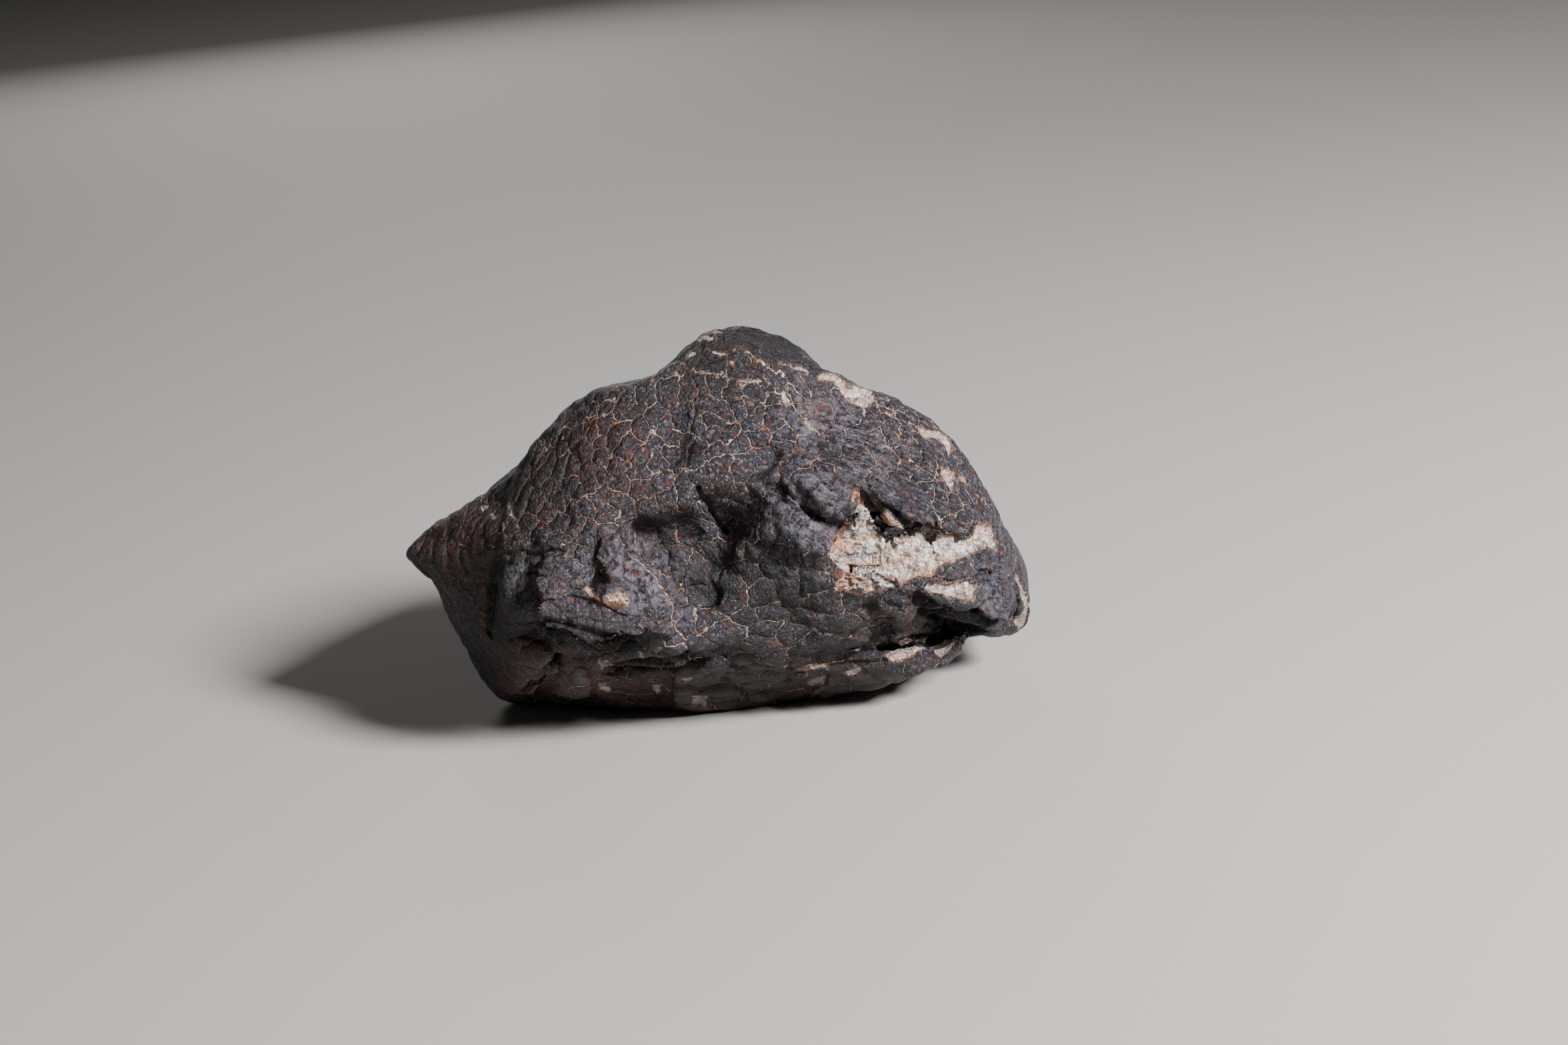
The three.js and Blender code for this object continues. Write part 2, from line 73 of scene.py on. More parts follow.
# ------------------------------------------------------------------ marks on the stone, mm
# Cracks: lines on the sheet that are pressed in along the normals. One width away from its
# line a crack is half as deep.
CRACKS = [
    # the groove between the lump and the bulge under it
    dict(width=0.24, depth=0.5, path=[
        (-0.3, 4), (0.9, 2.8), (2.7, 1.3), (4.2, 0.7), (5.4, -0.1), (6.3, -1),
    ]),
    # the open fissure over the bare matrix
    dict(width=0.16, depth=0.9, path=[
        (8.3, 4), (8.7, 3.1), (9.4, 2.3), (10.1, 1.5), (10.4, 0.3), (10.9, -0.6), (11.7, -1),
        (13.1, -1.3), (14.8, -0.9),
    ]),
    # round the cells of the right side
    dict(width=0.17, depth=0.5, path=[
        (21.3, -6.3), (23.4, -5.9), (24.8, -7), (25.1, -8.7), (24.9, -10.5),
    ]),
    dict(width=0.15, depth=0.45, path=[
        (21.6, -3.6), (22.5, -2.7), (23.7, -3.1), (24.3, -4.3), (23.7, -5.5), (22.1, -5.5),
    ]),
    dict(width=0.15, depth=0.45, path=[
        (16.9, 0.4), (16.9, -0.8), (18.4, -1.3), (19.9, -2), (21, -1.3), (21.4, -0.1), (20.6, 1),
    ]),
    dict(width=0.15, depth=0.4, path=[
        (25.3, -6.3), (26, -7.5), (26.2, -9), (25.7, -10.5),
    ]),
    dict(width=0.28, depth=1.2, path=[
        (14.9, -0.6), (15.8, -1.2), (16.6, -1.6),
    ]),
    # the crack under the lobe's edge
    dict(width=0.14, depth=0.5, path=[
        (10.9, 1.9), (11.9, 1.5), (13, 0.4), (14.2, -1),
    ]),
    # small cracks at the fissure's ends
    dict(width=0.16, depth=0.6, path=[
        (6.4, 1.2), (7.2, 0.6), (8.1, -0.3),
    ]),
    dict(width=0.14, depth=0.4, path=[
        (18.3, -1), (19.1, -1.4), (19.9, -2),
    ]),
    # cracks in the matrix
    dict(width=0.16, depth=0.4, path=[
        (6.4, -3.7), (7.4, -4), (9.2, -4), (11.3, -3.9), (11.8, -3.1),
    ]),
    dict(width=0.16, depth=0.35, path=[
        (7.2, -4.8), (8.9, -5.4), (10.7, -6.1), (12.6, -7.2),
    ]),
    dict(width=0.14, depth=0.3, path=[
        (17, -2.1), (17.7, -3.1),
    ]),
    dict(width=0.14, depth=0.4, path=[
        (16.7, -6.3), (18.2, -6.6), (20.1, -6.3),
    ]),
    # the crack that lifts a flake over the hollow
    dict(width=0.22, depth=0.8, path=[
        (-9.7, 3.8), (-8.4, 2.1), (-7.8, 0.7), (-6.6, -1),
    ]),
    # between the block and the shoulder
    dict(width=0.2, depth=0.22, path=[
        (-32.7, -4), (-31.6, -3.4), (-30.4, -3.6), (-29.3, -3.2), (-28, -3.8), (-26.7, -3.4),
        (-25.2, -3.1),
    ]),
    # under the block
    dict(width=0.3, depth=0.7, path=[
        (-26.8, -11.2), (-24.5, -11.6), (-21.8, -12.4), (-19.8, -13), (-16.3, -12.1),
    ]),
    # under the ledge beside it
    dict(width=0.5, depth=1.4, path=[
        (-19.2, -16.7), (-16, -16.2), (-13, -15.8), (-10.7, -15.2),
    ]),
    # the crack round the low boss on the left
    dict(width=0.26, depth=1.3, path=[
        (-29.5, -19.3), (-27.9, -17.9), (-26.5, -16.7), (-25.5, -15.7), (-25.4, -15),
    ]),
    # the slot over the low ledge on the right
    dict(width=0.28, depth=0.7, path=[
        (10.6, -14.1), (12.6, -13.5), (14.9, -12.8), (16.8, -12.9),
    ]),
    # creases over the foot
    dict(width=0.22, depth=0.35, path=[
        (-12.2, -18.3), (-9.4, -18.8), (-5.7, -18.3), (-1.9, -19.1), (1.8, -18.3),
    ]),
    dict(width=0.25, depth=0.4, path=[
        (-5.7, -16.3), (-1.9, -16.9), (1.8, -17.1), (5.5, -16.3), (9.2, -15.7),
    ]),
    dict(width=0.2, depth=0.35, path=[
        (-8.7, -20.2), (-4.9, -20), (-1.2, -20.3), (2.9, -19.5),
    ]),
    dict(width=0.2, depth=0.35, path=[
        (0.5, -15), (0.7, -16.9), (0.3, -18.7),
    ]),
    dict(width=0.22, depth=0.4, path=[
        (-6.8, -17.6), (-4.9, -18.7), (-3.8, -20.2),
    ]),
    # hollows along the foot
    dict(width=0.5, depth=0.7, path=[
        (-13.5, -15), (-10.5, -15.7), (-8.7, -14.6), (-5.7, -14.5), (-3.4, -15.1),
    ]),
    dict(width=0.5, depth=0.6, path=[
        (1, -15), (4, -15.3), (7, -15.1), (9.2, -14.5),
    ]),
    # the scarp that runs down to it
    dict(width=0.6, depth=0.5, path=[
        (9.3, -9.8), (11, -11.5), (12, -12.5),
    ]),
    # a flute in the hollow
    dict(width=0.9, depth=0.4, path=[
        (-16, -0.6), (-14.1, -3.4), (-12.3, -5.8), (-8.9, -8.9),
    ]),
]

# Bosses and dents: a round place among the landmarks, pushed along its own direction, and half
# as far one radius away.
BOSSES = [
    dict(at=(2.4, -19.2, 26.4), radius=0.7, push=(0, 1.0, 0)),
    dict(at=(-3.5, -19.5, 24), radius=4.0, push=(0.3, 1.3, -0.2)),
    dict(at=(9.5, -20.5, 28.5), radius=1.6, push=(0, -1.6, -0.3)),
]

# Plates: faces that stand out or lie back, drawn on the sheet as (right, above, lift). The lift
# passes evenly from corner to corner and stops at the outline over the run.
PLATES = [
    # the block's upper face
    dict(run=0.3, outline=[
        (-26.4, -4, 0.9), (-24.3, -3.2, 0.3), (-21.7, -2.8, 0.3), (-20.6, -4, 0.3),
        (-21.2, -5.8, 0.5), (-21.6, -7.2, 0.9), (-20.4, -8.5, 1.2), (-22.8, -8.1, 1.3),
        (-25.2, -8.4, 1.5), (-25.9, -8.6, 1.5), (-25.9, -7.2, 1.6), (-26.2, -5.5, 1.4),
    ]),
    # its lower face, over the overhang
    dict(run=0.3, outline=[
        (-25.2, -8.4, 1.2), (-22.8, -8.1, 0.9), (-20.4, -8.5, 0.8), (-19.5, -9.1, 0.7),
        (-17.6, -10.3, 0.6), (-15, -12, 0.5), (-18.3, -12.5, 1.2), (-21, -12.7, 1.5),
        (-23.2, -11.7, 1.5), (-26, -11, 1.4), (-26.1, -9.8, 1.5), (-25.8, -8.7, 1.5),
    ]),
    # the recess under it
    dict(run=0.3, outline=[
        (-26.9, -12, -0.2), (-26, -11, -0.6), (-23.2, -11.7, -0.8), (-21, -12.7, -0.9),
        (-18.3, -12.5, -0.8), (-15.7, -12.2, -0.7), (-15, -13.1, -0.3), (-15.4, -14.6, 0),
        (-18.3, -15, 0), (-21.3, -15, 0), (-23.6, -14.2, 0), (-25.1, -13.5, -0.1),
    ]),
    # the tongue
    dict(run=0.25, outline=[
        (-20.8, -3.8, 0.6), (-20.2, -1.8, 0.3), (-18.9, -1.2, 0.2), (-17.7, -2.3, 0.2),
        (-16.5, -3.8, 0.3), (-15.2, -5.5, 0.4), (-14.2, -7, 0.5), (-13.1, -8.1, 0.5),
        (-12.5, -9.5, 0.5), (-12.2, -11.3, 0.4), (-12.8, -12.8, 0.3), (-14.2, -12.2, 0.9),
        (-15.7, -11.3, 1.4), (-17.2, -10.3, 1.7), (-17.8, -8.7, 1.9), (-18.7, -6.6, 1.8),
        (-20, -4.9, 1.2),
    ]),
    # the hollow's side of the tongue's edge
    dict(run=0.25, outline=[
        (-17.6, -2.1, -0.5), (-16.3, -3.6, -0.9), (-15.1, -5.3, -1.1), (-14, -6.9, -1.1),
        (-12.9, -8.1, -1), (-12.2, -9.8, -0.8), (-12.2, -11.3, -0.3), (-9.8, -10.9, 0),
        (-9.2, -9, 0), (-10, -7.2, 0), (-11.3, -5.3, 0), (-13.1, -3.3, 0), (-15.7, -1.8, 0),
    ]),
    # the dark facet between the block and the tongue
    dict(run=0.3, outline=[
        (-20.7, -4, 0.3), (-20, -4.9, 0.9), (-18.7, -6.6, 1.3), (-17.8, -8.7, 1.4),
        (-17.3, -10.2, 1.2), (-19.1, -9.2, 1), (-20.4, -8.6, 0.8), (-21.6, -7.2, 0.5),
        (-21.2, -5.8, 0.3),
    ]),
    # the block's left wall
    dict(run=0.25, outline=[
        (-26.4, -4, 0.9), (-26.2, -5.5, 1.4), (-25.8, -7.2, 1.6), (-25.7, -9, 1.5),
        (-26.1, -10.7, 1.4), (-27.1, -10.6, 0.3), (-27.4, -8.7, 0.2), (-27.8, -6.4, 0.2),
        (-28.3, -4.5, 0.1),
    ]),
    # the band beside it
    dict(run=0.3, outline=[
        (-28.3, -4.5, 0.1), (-27.8, -6.4, 0.2), (-27.4, -8.7, 0.2), (-27.1, -10.6, 0.3),
        (-28, -11.3, 1), (-29.2, -10.5, 1.3), (-30.1, -8.7, 1.4), (-30.4, -6.8, 1.3),
        (-30.6, -4.8, 0.6),
    ]),
    # the dark facet
    dict(run=0.3, outline=[
        (-30.6, -4.8, 0.6), (-30.4, -6.8, 1.3), (-30.1, -8.7, 1.4), (-29.2, -10.5, 1.3),
        (-28, -11.3, 1), (-28.6, -12.2, 0.5), (-30.6, -13, 0.2), (-32.5, -13.1, -0.1),
        (-33.4, -12.4, -0.4), (-33.3, -10.1, -0.8), (-33.3, -7.9, -0.9), (-33.1, -6, -0.8),
        (-32.7, -4.5, -0.5), (-31.8, -4, -0.1),
    ]),
    # the low boss on the left
    dict(run=0.3, outline=[
        (-29.9, -12.8, 0.2), (-28, -13, 0.3), (-26.2, -14, 0.8), (-25.5, -15, 1.2),
        (-25.7, -16.3, 1.3), (-26.9, -17.4, 1.1), (-28.4, -18.7, 1), (-29.5, -19.7, 0.6),
        (-31.4, -19.5, 0), (-32.1, -16.9, 0), (-31.8, -14.2, 0),
    ]),
    # the lit face beside its crack
    dict(run=0.3, outline=[
        (-25.4, -15, 0), (-24.3, -14.8, 0.2), (-23, -15, 0.1), (-22.1, -16, 0.2),
        (-21.6, -17.2, 0.6), (-21.5, -18.6, 1), (-23.4, -19.1, 1.2), (-24.6, -19.4, 1.3),
        (-25.2, -19.7, 1), (-26.4, -20, 0.3), (-26.7, -18.3, -0.3), (-25.4, -16.7, 0.2),
    ]),
    # the ledge under the slot
    dict(run=0.3, outline=[
        (-20.6, -16.9, 0), (-18.9, -16.7, -0.4), (-16.1, -16.7, -0.6), (-13.1, -16.7, -0.7),
        (-12.4, -16.9, -0.7), (-12.2, -18.3, -0.7), (-12, -20.3, -0.6), (-14.6, -20.6, -0.4),
        (-18.3, -20.4, -0.2), (-20.6, -19.8, 0),
    ]),
    # the shaded face under the shoulder
    dict(run=0.4, outline=[
        (-18.3, -1.2, 0), (-16.9, -0.1, 0), (-14.6, 1, 0), (-11.6, 1.6, 0), (-9.4, 1.4, 0),
        (-7.9, -0.1, -0.2), (-9, -1.6, -0.5), (-10.1, -2.1, -0.7), (-12, -1.8, -0.7),
        (-14.2, -1.3, -0.6), (-16.5, -1.8, -0.4),
    ]),
    # and the slope that meets it
    dict(run=0.4, outline=[
        (-16.5, -1.8, -0.4), (-14.2, -1.3, -0.6), (-12, -1.8, -0.7), (-10.1, -2.1, -0.7),
        (-10.5, -4.5, 0), (-13.1, -4.9, 0), (-15, -3.8, 0), (-16.5, -2.7, 0),
    ]),
    # a scoop in the hollow
    dict(run=0.3, outline=[
        (-11.3, -5.1, 0), (-9.8, -4.8, 0), (-8.5, -6, -0.2), (-7.2, -8.3, -0.5),
        (-7.7, -9.2, -0.6), (-9.4, -9, -0.6), (-10.5, -7.9, -0.5), (-11.2, -6.6, -0.3),
    ]),
    # the dark flute
    dict(run=0.6, outline=[
        (-7.3, 0.7, -0.1), (-6, 0.9, 0), (-5.5, -1.2, 0), (-5.4, -3.4, 0), (-5.1, -5.8, 0),
        (-4.8, -7.2, 0), (-5.8, -7, -0.1), (-6.8, -6.3, -0.3), (-7.2, -4.5, -0.4),
        (-7.2, -2.3, -0.3),
    ]),
    # the lump's upper side
    dict(run=0.3, outline=[
        (0, 5, 0), (1.6, 5.8, 0.1), (4.4, 5.4, 0.2), (6.7, 4.7, 0.2), (8.1, 3.4, 0.3),
        (7.9, 1.8, 0.7), (6.5, 1.2, 1), (4.4, 2, 1.1), (2.2, 2.8, 0.9), (0.3, 3.5, 0.4),
    ]),
    # its lower side
    dict(run=0.25, outline=[
        (0.3, 3.5, 0.4), (2.2, 2.8, 0.9), (4.4, 2, 1.1), (6.5, 1.2, 1), (7.9, 1.8, 0.7),
        (7.3, -0.1, 0.2), (6.4, -1, 0), (5.4, -0.1, 0), (4.2, 0.7, 0), (2.7, 1.2, 0),
        (1.2, 1.9, 0), (0.1, 2.7, 0),
    ]),
    # the bulge
    dict(run=0.3, outline=[
        (-1.9, 2.5, 0), (0.1, 2.4, 0.3), (1.8, 1.5, 0.5), (3.4, 0.9, 0.4), (4.8, 0.1, 0.4),
        (6, -1.2, 0.3), (5.5, -2.7, 0.4), (4.8, -3.6, 0.5), (2.9, -3.4, 0.6), (2.2, -3.8, 0.6),
        (1, -2.7, 0.6), (0.1, -1.9, 0.6), (-1.9, -2.3, 0.5), (-3.4, -1.8, 0.3), (-3.4, 0.3, 0),
    ]),
    # a cell sunk under the bulge
    dict(run=0.3, outline=[
        (-3.4, -2.1, -0.2), (-1.9, -2.5, -0.3), (0.1, -2.3, -0.3), (1.8, -3.8, -0.4),
        (2.2, -4.9, -0.1), (1, -5.7, 0), (-1.9, -5.5, 0), (-3.1, -4.9, 0),
    ]),
    # the matrix left of the fissure
    dict(run=0.5, outline=[
        (6.3, -0.6, 0.2), (7, 0.9, 0.6), (8, 2.1, 0.8), (9.1, 1.9, 0.8), (9.9, 1, 1),
        (10.4, 0, 1.2), (10.9, -1, 1.1), (12.4, -1.6, 0.8), (13.9, -1.6, 0.7), (13, -2.7, 0.3),
        (9.2, -2.8, 0.2), (6.6, -2.1, 0.1),
    ]),
    # the flank of the lobe beside the fissure
    dict(run=0.25, outline=[
        (8.9, 3.5, 0.1), (10.6, 2, 0.1), (11.9, 1.4, 0.1), (13, 0.3, 0.1), (14.2, -1, 0.2),
        (15.3, -0.4, 0.7), (14.4, 0.9, 0.8), (13.2, 2, 0.7), (11.6, 3, 0.5), (9.8, 4.2, 0.3),
    ]),
    # the top of the lobe
    dict(run=0.4, outline=[
        (9.8, 4.2, 0.3), (11.6, 3, 0.5), (13.2, 2, 0.7), (14.4, 0.9, 0.8), (15.3, -0.4, 0.7),
        (15.9, 0.4, 0.4), (16.1, 1.6, 0.2), (15.2, 3.1, 0), (13, 4.3, 0), (10.7, 4.6, 0.1),
    ]),
    # the broken face in the fissure
    dict(run=0.2, outline=[
        (10.7, 1.2, 0.7), (11.6, 1.1, 0.1), (12.8, 0.1, 0.2), (13.9, -0.9, 0.5),
        (13.1, -1.3, 1.5), (11.9, -1.2, 1.7), (11.1, -0.7, 1.5), (10.7, 0.2, 1.1),
    ]),
    # a pale ridge low on the foot
    dict(run=0.4, outline=[
        (2.4, -19.2, 0.3), (3.4, -18.2, 0.7), (5, -17.3, 0.8), (5.5, -17.7, 0.4),
        (4.4, -18.6, 0.2), (2.9, -19.5, 0.1),
    ]),
    # another
    dict(run=0.4, outline=[
        (6.3, -17.7, 0.2), (7, -16.9, 0.6), (8.4, -16.7, 0.6), (8.1, -17.6, 0.2),
    ]),
    # a ledge on the foot
    dict(run=0.4, outline=[
        (1.4, -17, 0.2), (2.9, -16, 0.6), (5, -15.6, 0.7), (5.1, -16.1, 0.3), (2.9, -17, 0.1),
    ]),
    # the foot of the front
    dict(run=2.2, outline=[
        (-12, -14.2, 0.2), (-5.7, -13.7, 0.5), (1.8, -13.7, 0.5), (8.5, -14.2, 0.3),
        (9.2, -16.1, 0.2), (1.8, -17.2, 0.3), (-5.7, -17.6, 0.3), (-12, -16.9, 0.2),
    ]),
    # a flap beside it
    dict(run=0.25, outline=[
        (16.9, 0.4, 0.2), (18.6, 1, 0.1), (20.4, 1.2, 0.1), (21.3, -0.1, 0.3), (21, -1.2, 0.5),
        (20.1, -1.9, 0.6), (18.6, -1.3, 0.5), (17.1, -1, 0.4),
    ]),
    # a small cell on the right
    dict(run=0.25, outline=[
        (21.6, -3.4, 0.3), (22.5, -2.8, 0.1), (23.6, -3.3, 0.1), (24.2, -4.5, 0.2),
        (23.4, -5.7, 0.4), (21.9, -5.3, 0.4),
    ]),
    # the lobe
    dict(run=0.25, outline=[
        (21.3, -6.4, 0.1), (23.4, -6, 0), (24.8, -7.2, 0.1), (25.1, -9, 0.3), (24.2, -10.7, 0.7),
        (22.7, -10.3, 0.9), (21.2, -9.5, 0.9), (18.9, -9.2, 0.8), (16.7, -8.3, 0.6),
        (18.2, -7.5, 0.2), (21.3, -7.5, 0.3),
    ]),
    # the cave under the lobe
    dict(run=0.25, outline=[
        (14.6, -7.8, -1.2), (16.7, -8.4, -2.4), (18.9, -9.2, -2.8), (21.2, -9.6, -2.8),
        (22.8, -10.4, -2.4), (23.9, -11, -1.2), (23, -12, -1.5), (21.2, -12.5, -2.2),
        (18.9, -12.5, -2), (17.6, -12.1, -1), (16.9, -10.9, -1.5), (15.6, -9.8, -1.8),
        (14.6, -9.2, -1.4),
    ]),
    # lumps under the bare patch
    dict(run=1.2, outline=[
        (7.4, -7.5, 0), (9.2, -7.8, 0.3), (11.5, -7.9, 0.4), (13.3, -8.1, 0.5), (14.1, -9.4, 0.8),
        (13, -10.9, 0.6), (10.7, -11.6, 0.6), (9.2, -11.3, 0.5), (8.1, -9.8, 0.4),
    ]),
    # the hump behind the peak
    dict(run=0.5, outline=[
        (-7.5, 21.4, -0.5), (-4.9, 20.3, -0.9), (-2.3, 18.6, -1), (-0.1, 17.6, -0.9),
        (3.4, 16.6, -0.6), (4, 17.6, 0), (1.4, 20.4, 0), (-2.7, 22.2, 0), (-6, 22.4, 0),
    ]),
    # the low ledge on the right
    dict(run=0.25, outline=[
        (11.1, -15, 0.6), (12.6, -14.1, 0.6), (14.1, -13.6, 0.7), (16.3, -13.9, 0.6),
        (18.6, -12.9, 0.6), (20.1, -13.5, 0.3), (18.9, -15.4, 0), (16.7, -16.3, 0),
        (12.2, -16.3, 0),
    ]),
    # the slot over it
    dict(run=0.2, outline=[
        (10.6, -13.6, -0.4), (12.6, -13.3, -0.5), (14.6, -12.9, -0.5), (16.7, -12.7, -0.5),
        (18.6, -12.4, -0.4), (18.6, -12.9, -0.5), (16.3, -13.6, -0.6), (14.1, -13.5, -0.6),
        (12.6, -13.9, -0.6), (10.9, -14.5, -0.4),
    ]),
    # the brown face over that
    dict(run=0.3, outline=[
        (12.1, -8.9, 0), (14.5, -9.4, 0.5), (16.7, -10.9, 1), (17.7, -12.1, 1.3),
        (16.7, -12.5, 1.4), (14.5, -12.8, 1.3), (12.6, -12.9, 1), (11.5, -12, 0.4),
    ]),
    # a low lump on the front
    dict(run=0.4, outline=[
        (-9.8, -16.3, 0), (-8.7, -15.2, 0.6), (-6.4, -15, 0.6), (-5.1, -16.1, 0.3),
        (-5.7, -17.3, 0.1), (-8.7, -17.4, 0),
    ]),
    # the face right of the low crack
    dict(run=0.5, outline=[
        (-12.2, -16.6, 0.3), (-10.1, -17.2, 0.1), (-8.5, -18.3, 0), (-8.5, -19.8, 0),
        (-10.9, -20.7, 0.1), (-11.9, -20.6, 0.3), (-12.4, -18.7, 0.35),
    ]),
    # the rim of the white ridge
    dict(run=0.3, outline=[
        (3.3, -12.2, 0.2), (6.3, -12.5, 0.4), (9.2, -12.8, 0.5), (12.6, -11.9, 0.5),
        (14.2, -11.9, 0.3), (12.6, -13.1, 0.4), (10, -14, 0.5), (7.8, -14.2, 0.3),
        (4.8, -13.7, 0.2),
    ]),
]

